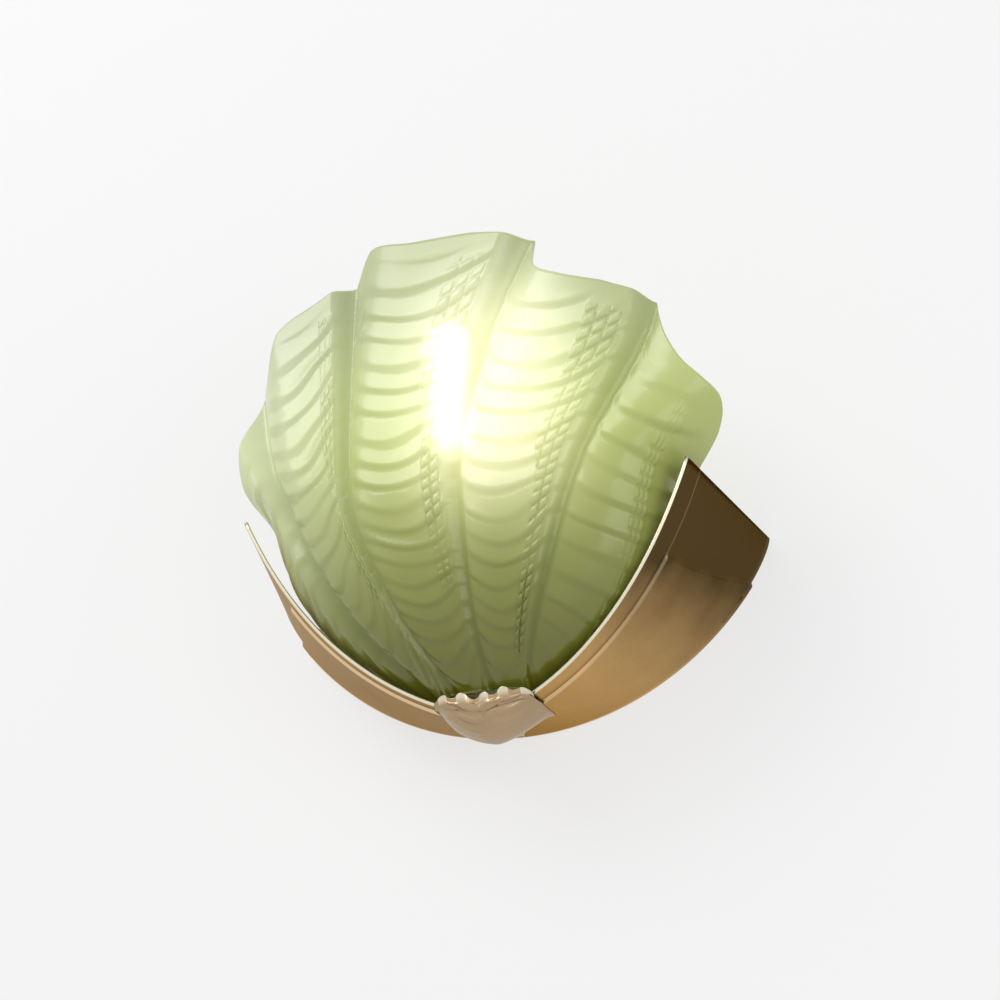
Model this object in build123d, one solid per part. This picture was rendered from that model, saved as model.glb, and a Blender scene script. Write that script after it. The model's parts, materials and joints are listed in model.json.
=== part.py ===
"""Shell wall sconce: a scalloped pressed-glass shade standing in a folded brass gallery.

Millimetres.  X to the viewer's right, Z up, the wall is the plane Y = 0 and the
fitting stands out from it towards -Y.  A "reach" is a distance out from the wall,
so reach = -Y.  Heights count from the foot of the gallery's outline on the wall.
Every piece is saved lower by WALL_SLOT_Z, so that the origin of the parts is on the
wall, midway between the two wall screws.
"""

from build123d import *
import math
import os

# ---------------------------------------------------------------- gallery wings
WING_SHEET = 1.2            # brass sheet
WING_CORNER_X = 132.0       # upper corner on the wall
WING_CORNER_Z = 86.7
WING_FOOT_PULL = 84.0       # how far the foot of the wall outline stays level
WING_SIDE_PULL_X = 129.9    # pull of the upper corner on the wall outline
WING_SIDE_PULL_Z = 69.9
WING_TIP_X = 114.6          # front tip of a wing
WING_TIP_REACH = 92.2
WING_TIP_Z = 97.6
WING_FOOT_REACH = 55.2      # front edge under the middle of the shade
WING_FOOT_Z = -6.2
WING_FRONT_PULL_X = 73.5    # pull of the tip on the front edge
WING_FRONT_PULL_REACH = 81.5
WING_FRONT_PULL_Z = -1.6
WING_SEAM = 0.4             # gap between the two wings under the shade
PANEL_RAISE = 1.5           # raised side panel
PANEL_FRONT_BAND = 13.0     # plain band along the front edge
PANEL_TOP_BAND = 0.17       # plain band along the top, as a share of the wing's height
PANEL_BEVEL = 3.0           # slope between band and panel
TAB_WIDTH = 16.0            # soldered tabs inside a wing that take its screws
TAB_LENGTH = 13.0

# ---------------------------------------------------------------- glass shade
GLASS = 4.5                 # wall of the shade
GLASS_FLOOR_Z = 2.5         # underside of the glass floor
GLASS_FLOOR = 5.0           # thickness of the glass floor
GLASS_BACK_REACH = 22.0     # back edge at the height of the origin
GLASS_BACK_LEAN = 0.25      # the back edge leans out from the wall
GLASS_SQUARENESS = 4.0      # 2 is an ellipse seen from above, more is squarer
GLASS_HEIGHTS = (-6.0, 5.0, 20.0, 40.0, 65.0, 95.0, 115.0, 140.0, 235.0)
GLASS_HALF_WIDTHS = (15.0, 32.6, 59.0, 82.0, 97.8, 106.8, 128.5, 142.0, 142.0)
GLASS_REACHES = (58.0, 74.0, 88.0, 99.0, 107.0, 113.0, 114.5, 115.0, 114.0)
VALLEY_HEIGHTS = (0.0, 40.0, 100.0, 170.0, 235.0)
VALLEYS_X = (
    (-24.0, -59.0, -91.0, -105.0, -118.0),
    (-11.0, -33.0, -52.0, -51.0, -49.0),
    (7.0, 6.0, 6.0, 22.0, 51.0),
    (24.0, 42.0, 67.0, 105.0, 118.0),
)
RIM_HEIGHTS = (             # left end, two places between, right end of each lobe
    (62.0, 78.0, 105.0, 161.0),
    (155.0, 192.0, 202.0, 213.0),
    (233.0, 228.0, 227.0, 222.0),
    (211.0, 197.0, 188.0, 178.0),
    (172.0, 136.0, 119.0, 81.0),
)
LOBE_DEPTH_FOOT = 1.6       # depth of the valleys at the floor and at the rim
LOBE_DEPTH_RIM = 11.0
LOBE_DEPTH_GROWTH = 1.4
SHOULDER = 0.34             # share of a lobe taken by its rounded left shoulder
SHOULDER_HEIGHT = 0.80
FOLD = 0.80                 # where the crest folds over to the steep right flank
INNER_SHOULDER = 0.45       # the inside of the glass is rounder than the outside
INNER_FOLD = 0.62
LOBE_COLUMNS = 9
GLASS_ROWS = 13

# ---------------------------------------------------------------- cast motif
MOTIF_X = 8.0
MOTIF_HALF_WIDTH = 36.0
MOTIF_BACK_REACH = 30.0     # back edge under the gallery
MOTIF_EDGE = 1.2            # thickness where it thins out to the gallery
MOTIF_PROFILE = (           # middle section, from the front edge of the wings: out, up
    (17.0, 7.0),
    (16.4, 2.0),
    (13.6, -3.6),
    (9.0, -8.6),
    (1.0, -13.6),
    (-9.0, -14.6),
    (-19.0, -9.6),
    (-26.0, -3.0),
)
MOTIF_LEDGE = (             # inside of its raised front wall
    (14.4, 6.6),
    (12.0, 3.6),
    (7.0, 1.2),
    (1.5, -0.6),
)
MOTIF_RIDGE = 0.8           # height of the ridges that follow the front wall
MOTIF_RIDGES = 3
MOTIF_BUMP = 1.3            # scallops along the top of the front wall
MOTIF_BUMP_PITCH = 11.0
MOTIF_ROWS = 30
MOTIF_COLUMNS = 26
MOTIF_FIT = 0.35            # between the casting and the underside of the wings
MOTIF_SCREW_X = 9.0         # either side of the seam
MOTIF_SCREW_REACH = 36.0
MOTIF_SCREW_HEAD_Z = -10.0
MOTIF_SCREW_TOP_Z = 1.0
MOTIF_RECESS = 20.0         # depth of the holes for the screw heads, open below
M3 = 3.0
M3_CLEAR = 0.3
M3_HEAD = 5.5
M3_HEAD_HEIGHT = 2.0
M3_NUT_FLATS = 5.5
M3_NUT_HEIGHT = 2.0
CONTACT = 0.2              # hand-fitted seat between pressed and cast brass
TROUGH_ROWS = 8             # lower rows of the wing that make the trough under the shade
TROUGH_LEVEL = 40.0

# ---------------------------------------------------------------- wall plate
PLATE = 2.0                 # steel
PLATE_EDGE_GAP = 0.8        # between the plate and the inside of the wings
PLATE_TOP = 0.78            # where the wide part ends, along the wings' wall outline
TONGUE_WIDTH = 66.0
TONGUE_TOP_Z = 136.0
TONGUE_CORNER = 14.0
WALL_SLOT_X = 22.0          # wall screw slots, either side of the middle
WALL_SLOT_Z = 120.0
WALL_SLOT_WIDTH = 5.0
WALL_SLOT_LENGTH = 11.0
CABLE_HOLE = 12.0
CABLE_HOLE_Z = 101.0
M4 = 4.0
M4_CLEAR = 0.4
M4_HEAD = 8.0
M4_HEAD_HEIGHT = 2.6
M4_SLOT = 1.0
WING_SCREW_STATIONS = (0.36, 0.62)

# ---------------------------------------------------------------- lamp bracket and lampholder
BRACKET_WIDTH = 20.0
BRACKET = 2.0
BRACKET_Z = 60.0            # underside of the arm
BRACKET_LEG = 32.0
BRACKET_NOSE = 14.0         # past the lamp's axis
BRACKET_SCREW_DROPS = (9.0, 22.0)
LAMP_REACH = 58.0
NIPPLE = 10.0
NIPPLE_BORE = 7.0
NIPPLE_LENGTH = 13.0
NIPPLE_CLEAR = 0.4
NIPPLE_NUT_FLATS = 14.0
NIPPLE_NUT_HEIGHT = 3.0
HOLDER_DIAMETER = 27.0
HOLDER_BASE_HEIGHT = 12.0
HOLDER_SKIRT_HEIGHT = 32.0
HOLDER_WALL = 2.0
CORE_HEIGHT = 9.0
CAP_DIAMETER = 13.9         # small screw cap of the lamp
CAP_LENGTH = 20.0
CAP_WALL = 0.4
CAP_CLEAR = 0.1             # radial, between the cap and the screw shell
SHELL_WALL = 0.5
SHELL_HEIGHT = 19.0
TIP_RADIUS = 2.6
TIP_HEIGHT = 2.0
CONTACT_SPRING = 0.6
BULB_DIAMETER = 35.0
BULB_LENGTH = 76.0
BULB_GLASS = 0.8
STEM_RADIUS = 2.6
STEM_HEIGHT = 24.0
FILAMENT = 0.8
FILAMENT_SPREAD = 8.0
FILAMENT_HEIGHT = 18.0

# ---------------------------------------------------------------- wiring
BLOCK_WAYS = 3
BLOCK_WAY = 10.0
BLOCK_HEIGHT = 14.0
BLOCK_DEPTH = 12.0
BLOCK_Z = 68.0
BLOCK_BORE = 3.4
BLOCK_SCREW = 3.0
WIRE = 2.4
WIRE_BEND = 1.6
WIRE_REACH = 6.0            # past the plate
WIRE_RISE = 8.0             # the earth wire's bow above the block
EARTH_X = 22.0
EARTH_Z = 52.0
EARTH_TAG = 0.9
EARTH_TAG_WIDTH = 4.0
EARTH_TAG_LENGTH = 8.0
PAD_WIDTH = 12.0
PAD_DEPTH = 24.0
PAD_X = 22.0
PAD_REACH = 44.0
SEAT_GAP = 0.3


# ---------------------------------------------------------------- helpers
def at(x, reach, z):
    return Vector(x, -reach, z)


def mirrored(shape):
    return mirror(shape, about=Plane.YZ)


def bezier(controls, t):
    """Point of a cubic curve with four controls."""
    weights = ((1 - t) ** 3, 3 * t * (1 - t) ** 2, 3 * t * t * (1 - t), t ** 3)
    return [sum(w * c[i] for w, c in zip(weights, controls)) for i in range(len(controls[0]))]


def smooth_step(t):
    t = min(max(t, 0.0), 1.0)
    return t * t * (3 - 2 * t)


def through(stations, values, x):
    """Smooth curve through the stations that never overshoots its values."""
    count = len(stations)
    steps = [stations[i + 1] - stations[i] for i in range(count - 1)]
    rises = [(values[i + 1] - values[i]) / steps[i] for i in range(count - 1)]
    slopes = [rises[0]]
    for i in range(1, count - 1):
        if rises[i - 1] * rises[i] <= 0:
            slopes.append(0.0)
            continue
        w1 = 2 * steps[i] + steps[i - 1]
        w2 = steps[i] + 2 * steps[i - 1]
        slopes.append((w1 + w2) / (w1 / rises[i - 1] + w2 / rises[i]))
    slopes.append(rises[-1])
    x = min(max(x, stations[0]), stations[-1])
    i = 0
    while i < count - 2 and x > stations[i + 1]:
        i += 1
    h = steps[i]
    t = (x - stations[i]) / h
    return (
        (1 + 2 * t) * (1 - t) ** 2 * values[i]
        + t * (1 - t) ** 2 * h * slopes[i]
        + t * t * (3 - 2 * t) * values[i + 1]
        + t * t * (t - 1) * h * slopes[i + 1]
    )


def linear(stations, values, x):
    """Straight lines through the stations."""
    if x <= stations[0]:
        return values[0]
    for i in range(1, len(stations)):
        if x <= stations[i]:
            share = (x - stations[i - 1]) / (stations[i] - stations[i - 1])
            return values[i - 1] + share * (values[i] - values[i - 1])
    return values[-1]


def skin(rows, even):
    """A smooth face through rows of points, lofted from one spline per row.

    The columns count as evenly spaced, or else as spaced like the middle row's points.
    """
    middle = rows[len(rows) // 2]
    lengths = [0.0]
    for k, (a, b) in enumerate(zip(middle, middle[1:])):
        lengths.append(k + 1 if even else lengths[-1] + (b - a).length)
    shares = [length / lengths[-1] for length in lengths]
    wires = [Wire([Edge.make_spline(row, parameters=shares)]) for row in rows]
    return Shell.make_loft(wires).faces()[0]


def border(face, start, end):
    """The edge of a skin that runs between two of its corners."""
    def miss(edge):
        a = edge.position_at(0)
        b = edge.position_at(1)
        return min((a - start).length + (b - end).length, (a - end).length + (b - start).length)
    return min(face.edges(), key=miss)


def strip(edge_a, edge_b):
    """A ruled face between two borders."""
    return Face.make_surface_from_curves(edge_a, edge_b)


def closed_sheet(outer, inner, even=False, floor_faces=None):
    """A solid between two grids of points with matching rows and columns."""
    outer_face = skin(outer, even)
    inner_face = skin(inner, even)
    corners = ((0, 0), (0, -1), (-1, -1), (-1, 0))
    faces = [outer_face, inner_face]
    borders = []
    for k in range(4):
        i, j = corners[k]
        m, n = corners[(k + 1) % 4]
        edge_out = border(outer_face, outer[i][j], outer[m][n])
        edge_in = border(inner_face, inner[i][j], inner[m][n])
        borders.append((edge_out, edge_in))
    for k, (edge_out, edge_in) in enumerate(borders):
        if k == 0 and floor_faces:
            faces += floor_faces(edge_out, edge_in, outer, inner)
        else:
            faces.append(strip(edge_out, edge_in))
    solid = Solid(Shell(faces))
    return solid.fix()


def upright(profile_rows, axis_x, axis_reach):
    """A turned piece: (radius, z) pairs about an upright axis."""
    wire = Polyline(*[(r, 0, z) for r, z in profile_rows], close=True)
    turned = revolve(make_face(wire), axis=Axis.Z)
    return Pos(axis_x, -axis_reach, 0) * turned


def disc(radius, height, x, reach, z):
    """An upright cylinder that stands on z."""
    return Pos(x, -reach, z + height / 2) * Cylinder(radius, height)


def bolt_along_y(radius, length, x, reach, z):
    """A cylinder that starts at a reach and runs away from the wall."""
    return Pos(x, -(reach + length / 2), z) * Rot(90, 0, 0) * Cylinder(radius, length)


def save(name, shape):
    export_step(Pos(0, 0, -WALL_SLOT_Z) * shape, f"parts/{name}.step")


# ---------------------------------------------------------------- wings
def wing_wall_point(t):
    """Outline of a right wing on the wall, from the foot to the upper corner."""
    return bezier(
        (
            (WING_SEAM / 2, 0.0),
            (WING_FOOT_PULL, 0.0),
            (WING_SIDE_PULL_X, WING_SIDE_PULL_Z),
            (WING_CORNER_X, WING_CORNER_Z),
        ),
        t,
    )


def wing_front_point(t):
    """Front edge of a right wing, from the foot to the tip: x, reach, z."""
    return bezier(
        (
            (WING_SEAM / 2, WING_FOOT_REACH, WING_FOOT_Z),
            (WING_SEAM / 2 + 4.4, WING_FOOT_REACH + 1.3, WING_FOOT_Z),
            (WING_FRONT_PULL_X, WING_FRONT_PULL_REACH, WING_FRONT_PULL_Z),
            (WING_TIP_X, WING_TIP_REACH, WING_TIP_Z),
        ),
        t,
    )


def wing_base(t, share):
    """Point of the plain ruled wing: share 0 on the front edge, 1 on the wall."""
    fx, reach, fz = wing_front_point(t)
    wx, wz = wing_wall_point(t)
    return Vector(fx + share * (wx - fx), -reach * (1 - share), fz + share * (wz - fz))


def wing_normal(t, share):
    """Outward direction of the ruled wing."""
    step = 0.002
    ta, tb = max(t - step, 0.0), min(t + step, 1.0)
    along = wing_base(tb, share) - wing_base(ta, share)
    across = wing_base(t, 1.0) - wing_base(t, 0.0)
    return across.cross(along).normalized()


def wing_grid(depth):
    """Grid of points a given depth under the outer face of the right wing."""
    stations_t = [0.0, 0.03, 0.08, 0.16, 0.25, 0.34, 0.43, 0.52, 0.61, 0.70]
    top = 1.0 - PANEL_TOP_BAND
    stations_t += [0.76, top - 0.025, top, top + 0.025, 0.92, 1.0]
    rows = []
    for t in stations_t:
        length = (wing_base(t, 1.0) - wing_base(t, 0.0)).length
        band = PANEL_FRONT_BAND / length
        bevel = PANEL_BEVEL / length
        shares = [0.0, band * 0.5, band - bevel * 0.4, band, band + bevel / 2]
        shares += [band + bevel, band + bevel * 1.4]
        shares += [band + bevel * 1.4 + (1 - band - bevel * 1.4) * k / 4 for k in range(1, 5)]
        row = []
        for share in shares:
            across = smooth_step((share - band) / bevel)
            along = smooth_step((top - t) / 0.025 + 0.5)
            raised = PANEL_RAISE * across * along
            normal = wing_normal(t, share)
            if share > 0.999:
                normal = Vector(normal.X, 0, normal.Z).normalized()
            row.append(wing_base(t, share) + normal * (raised - depth))
        rows.append(row)
    return rows


def wing_tab(station):
    """Tab that lies on the wall plate inside the wing, and the middle of its screw."""
    x, z = wing_wall_point(station)
    normal = wing_normal(station, 1.0)
    normal = Vector(normal.X, 0, normal.Z).normalized()
    edge = Vector(x, 0, z) + normal * (PANEL_RAISE - WING_SHEET / 2)
    middle = edge - normal * (TAB_LENGTH / 2) - Vector(0, PLATE + WING_SHEET / 2, 0)
    plane = Plane(origin=middle, x_dir=normal, z_dir=Vector(0, -1, 0))
    return plane * Box(TAB_LENGTH, TAB_WIDTH, WING_SHEET), middle


def wing_screw_places():
    """Middle of each wing screw on the right wing: x, z."""
    middles = [wing_tab(station)[1] for station in WING_SCREW_STATIONS]
    return [(middle.X, middle.Z) for middle in middles]


def right_wing():
    wing = closed_sheet(wing_grid(0.0), wing_grid(WING_SHEET))
    for station in WING_SCREW_STATIONS:
        wing += wing_tab(station)[0]
    for x, z in wing_screw_places():
        wing -= bolt_along_y((M4 + M4_CLEAR) / 2, 10, x, 0, z)
    wing -= disc((M3 + M3_CLEAR) / 2, 20, MOTIF_SCREW_X, MOTIF_SCREW_REACH, -10)
    return wing


def trough_filler(depth, level):
    """Solid between a level and a skin a given depth under the outside of the wing."""
    rows = wing_grid(depth)[:TROUGH_ROWS]
    flat = [[Vector(point.X, point.Y, level) for point in row] for row in rows]
    return closed_sheet(rows, flat) if level < 0 else closed_sheet(flat, rows)


def gallery_place(x, reach):
    """Where on a wing's ruled surface a place on its floor lies."""
    low, high = 0.0, 1.0
    for _ in range(30):
        t = (low + high) / 2
        share = 1 - reach / wing_front_point(t)[1]
        if wing_base(t, share).X < x:
            low = t
        else:
            high = t
    return low, share


def gallery_floor_z(x, reach):
    """Height of the inside of the gallery at a place on its floor."""
    return wing_base(*gallery_place(x, reach)).Z + WING_SHEET - PANEL_RAISE


# ---------------------------------------------------------------- shade
def half_width(z):
    return through(GLASS_HEIGHTS, GLASS_HALF_WIDTHS, z)


def front_reach(z):
    return through(GLASS_HEIGHTS, GLASS_REACHES, z)


SECTION_STEPS = 160


def section(z):
    """Half outline of the plain shade at a height: x, reach and length along it."""
    width = half_width(z)
    back = GLASS_BACK_REACH + GLASS_BACK_LEAN * z
    depth = front_reach(z) - back
    points = []
    length = 0.0
    for k in range(SECTION_STEPS + 1):
        angle = math.pi / 2 * k / SECTION_STEPS
        c = math.cos(angle)
        s = math.sin(angle)
        r = (c ** GLASS_SQUARENESS + s ** GLASS_SQUARENESS) ** (-1 / GLASS_SQUARENESS)
        x = width * r * s
        reach = back + depth * r * c
        if points:
            length += math.hypot(x - points[-1][0], reach - points[-1][1])
        points.append((x, reach, length))
    return points


def length_at_x(points, x):
    for k in range(1, len(points)):
        if points[k][0] >= abs(x):
            a, b = points[k - 1], points[k]
            share = (abs(x) - a[0]) / (b[0] - a[0])
            return math.copysign(a[2] + share * (b[2] - a[2]), x)
    return math.copysign(points[-1][2], x)


def place_at_length(points, length):
    for k in range(1, len(points)):
        if points[k][2] >= abs(length) or k == len(points) - 1:
            a, b = points[k - 1], points[k]
            share = (abs(length) - a[2]) / (b[2] - a[2])
            x = a[0] + share * (b[0] - a[0])
            return math.copysign(x, length), a[1] + share * (b[1] - a[1])


def plain_point(lobe, place, height_share):
    """Point of the shade without its lobes; place runs 0 to 1 across the lobe."""
    top = linear((0, 1 / 3, 2 / 3, 1), RIM_HEIGHTS[lobe], place)
    z = GLASS_HEIGHTS[0] + (top - GLASS_HEIGHTS[0]) * height_share
    points = section(z)
    whole = points[-1][2]
    bounds = [-whole]
    bounds += [length_at_x(points, through(VALLEY_HEIGHTS, row, z)) for row in VALLEYS_X]
    bounds.append(whole)
    length = bounds[lobe] + (bounds[lobe + 1] - bounds[lobe]) * place
    x, reach = place_at_length(points, length)
    return at(x, reach, z)


def lobe_height(lobe, place, shoulder, fold):
    """Height of the lobe over its valley, 0 to 1."""
    rise = 1 - (1 - min(place / shoulder, 1)) ** 2.2
    height = SHOULDER_HEIGHT * rise + (1 - SHOULDER_HEIGHT) * min(place / fold, 1)
    fall = 1 - smooth_step((place - fold) / (1 - fold))
    if lobe == 0 and place < shoulder:
        height = SHOULDER_HEIGHT + (1 - SHOULDER_HEIGHT) * place / fold
    if lobe == len(RIM_HEIGHTS) - 1:
        fall = 1.0
    return height * fall


def glass_point(lobe, place, height_share, inside):
    """Point of the outer or inner face of the glass."""
    step_p, step_h = 0.02, 0.004
    left = plain_point(lobe, max(place - step_p, 0), height_share)
    right = plain_point(lobe, min(place + step_p, 1), height_share)
    low = plain_point(lobe, place, max(height_share - step_h, 0))
    high = plain_point(lobe, place, min(height_share + step_h, 1))
    across = right - left
    outward = across.cross(high - low).normalized()
    growth = height_share ** LOBE_DEPTH_GROWTH
    depth = LOBE_DEPTH_FOOT + (LOBE_DEPTH_RIM - LOBE_DEPTH_FOOT) * growth
    if inside:
        height = lobe_height(lobe, place, INNER_SHOULDER, INNER_FOLD)
        under = GLASS + depth * (1 - height)
    else:
        under = depth * (1 - lobe_height(lobe, place, SHOULDER, FOLD))
    return plain_point(lobe, place, height_share) - outward * under


def glass_column(lobe, place, foot_z, inside):
    """Points up the glass from the height of its foot to the rim."""
    low, high = 0.0, 0.5
    for _ in range(22):
        middle = (low + high) / 2
        if glass_point(lobe, place, middle, inside).Z < foot_z:
            low = middle
        else:
            high = middle
    column = []
    for k in range(GLASS_ROWS + 1):
        share = low + (1 - low) * k / GLASS_ROWS
        column.append(glass_point(lobe, place, share, inside))
    column[0] = Vector(column[0].X, column[0].Y, foot_z)
    return column


def glass_grid(foot_z, inside):
    columns = []
    for lobe in range(len(RIM_HEIGHTS)):
        first = 0 if lobe == 0 else 1
        for k in range(first, LOBE_COLUMNS + 1):
            columns.append(glass_column(lobe, k / LOBE_COLUMNS, foot_z, inside))
    return [list(row) for row in zip(*columns)]


def glass_floor(edge_out, edge_in, outer, inner):
    """Flat floor of the shade: underside, inside and its back edge."""
    back_out = Line(outer[0][0], outer[0][-1]).edge()
    back_in = Line(inner[0][0], inner[0][-1]).edge()
    under = Face(Wire([edge_out, back_out]))
    upper = Face(Wire([edge_in, back_in]))
    return [under, upper, strip(back_out, back_in)]


def shade():
    outer = glass_grid(GLASS_FLOOR_Z, False)
    inner = glass_grid(GLASS_FLOOR_Z + GLASS_FLOOR, True)
    return closed_sheet(outer, inner, even=True, floor_faces=glass_floor)


# ---------------------------------------------------------------- motif
def gallery_edge(x):
    """Reach and height of the wings' front edge at a distance from the middle."""
    low, high = 0.0, 1.0
    for _ in range(30):
        middle = (low + high) / 2
        if wing_front_point(middle)[0] < abs(x):
            low = middle
        else:
            high = middle
    return wing_front_point(low)[1:]


def gallery_under_z(x, reach):
    """Height of the outside of the gallery's floor."""
    t, share = gallery_place(abs(x), reach)
    length = (wing_base(t, 1.0) - wing_base(t, 0.0)).length
    raised = PANEL_RAISE * smooth_step((share * length - PANEL_FRONT_BAND + PANEL_BEVEL) / PANEL_BEVEL)
    return wing_base(t, share).Z + wing_normal(t, share).Z * raised


def motif_place(profile, share):
    """Point along a profile of (out, up) pairs."""
    stations = [k / (len(profile) - 1) for k in range(len(profile))]
    out = through(stations, [point[0] for point in profile], share)
    up = through(stations, [point[1] for point in profile], share)
    return out, up


def motif_rows(inside):
    rows = []
    for k in range(MOTIF_ROWS + 1):
        across = 2 * k / MOTIF_ROWS - 1
        x = MOTIF_X + MOTIF_HALF_WIDTH * across
        swell = (1 - abs(across) ** 2.5) ** 0.8
        front, edge_z = gallery_edge(x)
        bump = MOTIF_BUMP * swell * math.cos(2 * math.pi * (x - MOTIF_X) / MOTIF_BUMP_PITCH)
        row = []
        for j in range(MOTIF_COLUMNS + 1):
            share = j / MOTIF_COLUMNS
            lip = max(1 - share * 6, 0.0) if not inside else max(1 - share * 8, 0.0)
            near_reach = front + MOTIF_EDGE + (MOTIF_BACK_REACH - front - MOTIF_EDGE) * share
            if near_reach > front:
                near_z = edge_z - MOTIF_FIT
            else:
                near_z = gallery_under_z(x, near_reach) - MOTIF_FIT
            if inside:
                ledge = min(share * 3, 1.0)
                out, up = motif_place(MOTIF_LEDGE, ledge)
                reach, z = front + out, edge_z + up
                if share > 1 / 3:
                    reach = front + (MOTIF_LEDGE[-1][0]) + (MOTIF_BACK_REACH - front - MOTIF_LEDGE[-1][0]) * (share - 1 / 3) * 1.5
                    z = (gallery_under_z(x, reach) if reach < front else edge_z) - MOTIF_FIT
                reach = near_reach + swell * (reach - near_reach)
                if share <= 1 / 3:
                    z = near_z + swell * (z - near_z)
                else:
                    z = (gallery_under_z(x, reach) if reach < front else edge_z) - MOTIF_FIT
            else:
                out, up = motif_place(MOTIF_PROFILE, share)
                ridge = math.sin(2 * math.pi * MOTIF_RIDGES * share / 0.6) if 0.1 < share < 0.6 else 0.0
                ridge *= MOTIF_RIDGE * smooth_step((share - 0.1) * 10) * smooth_step((0.6 - share) * 10)
                reach = near_reach + swell * (front + out + ridge - near_reach)
                z = near_z - MOTIF_EDGE + swell * (edge_z + up - near_z + MOTIF_EDGE)
            row.append(at(x, reach + bump * lip / 2, z + bump * lip))
        rows.append(row)
    return rows


def motif():
    """Cast shell that wraps the front of the gallery under the shade."""
    body = closed_sheet(motif_rows(False), motif_rows(True))
    room = closed_sheet(wing_grid(-CONTACT), wing_grid(WING_SHEET + CONTACT))
    body = body - room - mirrored(room)
    for side in (-1, 1):
        x = side * MOTIF_SCREW_X
        foot = MOTIF_SCREW_HEAD_Z - MOTIF_RECESS
        body -= disc((M3 + M3_CLEAR) / 2, MOTIF_RECESS * 2, x, MOTIF_SCREW_REACH, foot)
        body -= disc((M3_HEAD + M3_CLEAR) / 2, MOTIF_RECESS, x, MOTIF_SCREW_REACH, foot)
    return max(body.solids(), key=lambda solid: solid.volume)


def motif_screws():
    screws = []
    for side in (-1, 1):
        x = side * MOTIF_SCREW_X
        shank = disc(M3 / 2, MOTIF_SCREW_TOP_Z - MOTIF_SCREW_HEAD_Z, x, MOTIF_SCREW_REACH, MOTIF_SCREW_HEAD_Z)
        head = disc(M3_HEAD / 2, M3_HEAD_HEIGHT, x, MOTIF_SCREW_REACH, MOTIF_SCREW_HEAD_Z - M3_HEAD_HEIGHT)
        slot = Pos(x, -MOTIF_SCREW_REACH, MOTIF_SCREW_HEAD_Z - M3_HEAD_HEIGHT) * Box(M3_HEAD + 1, 0.8, 1.6)
        screws.append(shank + head - slot)
    return Compound(screws)


def hex_nut(flats, height, bore, x, reach, z):
    blank = extrude(RegularPolygon(flats / 2, 6, major_radius=False), height)
    return Pos(x, -reach, z) * (blank - Pos(0, 0, height / 2) * Cylinder(bore / 2, height * 2))


def motif_nuts():
    nuts = []
    for side in (-1, 1):
        z = gallery_floor_z(MOTIF_SCREW_X + M3_NUT_FLATS / 2, MOTIF_SCREW_REACH - M3_NUT_FLATS / 2)
        z += SEAT_GAP / 2
        nuts.append(hex_nut(M3_NUT_FLATS, M3_NUT_HEIGHT, M3 + 0.1, side * MOTIF_SCREW_X, MOTIF_SCREW_REACH, z))
    return Compound(nuts)


# ---------------------------------------------------------------- wall plate
def back_plate():
    count = 16
    edge = []
    for k in range(count + 1):
        t = PLATE_TOP * k / count
        x, z = wing_wall_point(t)
        normal = wing_normal(t, 1.0)
        normal = Vector(normal.X, 0, normal.Z).normalized()
        inset = WING_SHEET + PLATE_EDGE_GAP
        edge.append(Vector(max(x - normal.X * inset, 0.0) if k else 0.0, 0, z - normal.Z * inset))
    left = [Vector(-point.X, 0, point.Z) for point in edge]
    rim = Wire([Spline(*edge), Line(edge[-1], left[-1]), Spline(*reversed(left))])
    plate = extrude(Face(rim), PLATE, dir=(0, -1, 0))
    top = edge[-1].Z
    tongue_height = TONGUE_TOP_Z - top / 2
    tongue = RectangleRounded(TONGUE_WIDTH, tongue_height, TONGUE_CORNER)
    tongue = extrude(Plane.XZ * tongue, PLATE)
    plate += Pos(0, 0, top / 2 + tongue_height / 2) * tongue
    for side in (-1, 1):
        slot = extrude(Plane.XZ * SlotOverall(WALL_SLOT_LENGTH, WALL_SLOT_WIDTH), PLATE * 4, both=True)
        plate -= Pos(side * WALL_SLOT_X, 0, WALL_SLOT_Z) * slot
    plate -= bolt_along_y(CABLE_HOLE / 2, 10, 0, -5, CABLE_HOLE_Z)
    for x, z in wing_screw_places():
        for side in (-1, 1):
            plate -= bolt_along_y(M4 / 2 + 0.05, 10, side * x, -5, z)
    for z in bracket_screw_heights():
        plate -= bolt_along_y(M4 / 2 + 0.05, 10, 0, -5, z)
    plate -= bolt_along_y(M4 / 2 + 0.05, 10, EARTH_X, -5, EARTH_Z)
    return plate


def plate_screw(x, z, under_head):
    """Slotted pan-head screw tapped into the plate."""
    shank = bolt_along_y(M4 / 2, under_head, x, 0, z)
    head = bolt_along_y(M4_HEAD / 2, M4_HEAD_HEIGHT, x, under_head, z)
    slot = Pos(x, -(under_head + M4_HEAD_HEIGHT), z) * Box(M4_HEAD + 1, M4_SLOT * 2, M4_SLOT)
    return shank + head - slot


def wing_screws():
    screws = []
    for x, z in wing_screw_places():
        for side in (-1, 1):
            screws.append(plate_screw(side * x, z, PLATE + WING_SHEET))
    return Compound(screws)


def grommet():
    lip = 1.5
    outside = CABLE_HOLE / 2
    profile = ((outside - 2.5, -0.4), (outside, -0.4), (outside, PLATE + 0.1), (outside + 2, PLATE + 0.1))
    profile += ((outside + 2, PLATE + lip), (outside - 2.5, PLATE + lip))
    wire = Polyline(*[(r, -y, 0) for r, y in profile], close=True)
    ring = revolve(make_face(wire), axis=Axis.Y)
    ring -= Pos(0, 5, 0) * Box(60, 10, 60)
    return Pos(0, 0, CABLE_HOLE_Z) * ring


# ---------------------------------------------------------------- lamp bracket
def bracket_screw_heights():
    return [BRACKET_Z - drop for drop in BRACKET_SCREW_DROPS]


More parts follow.
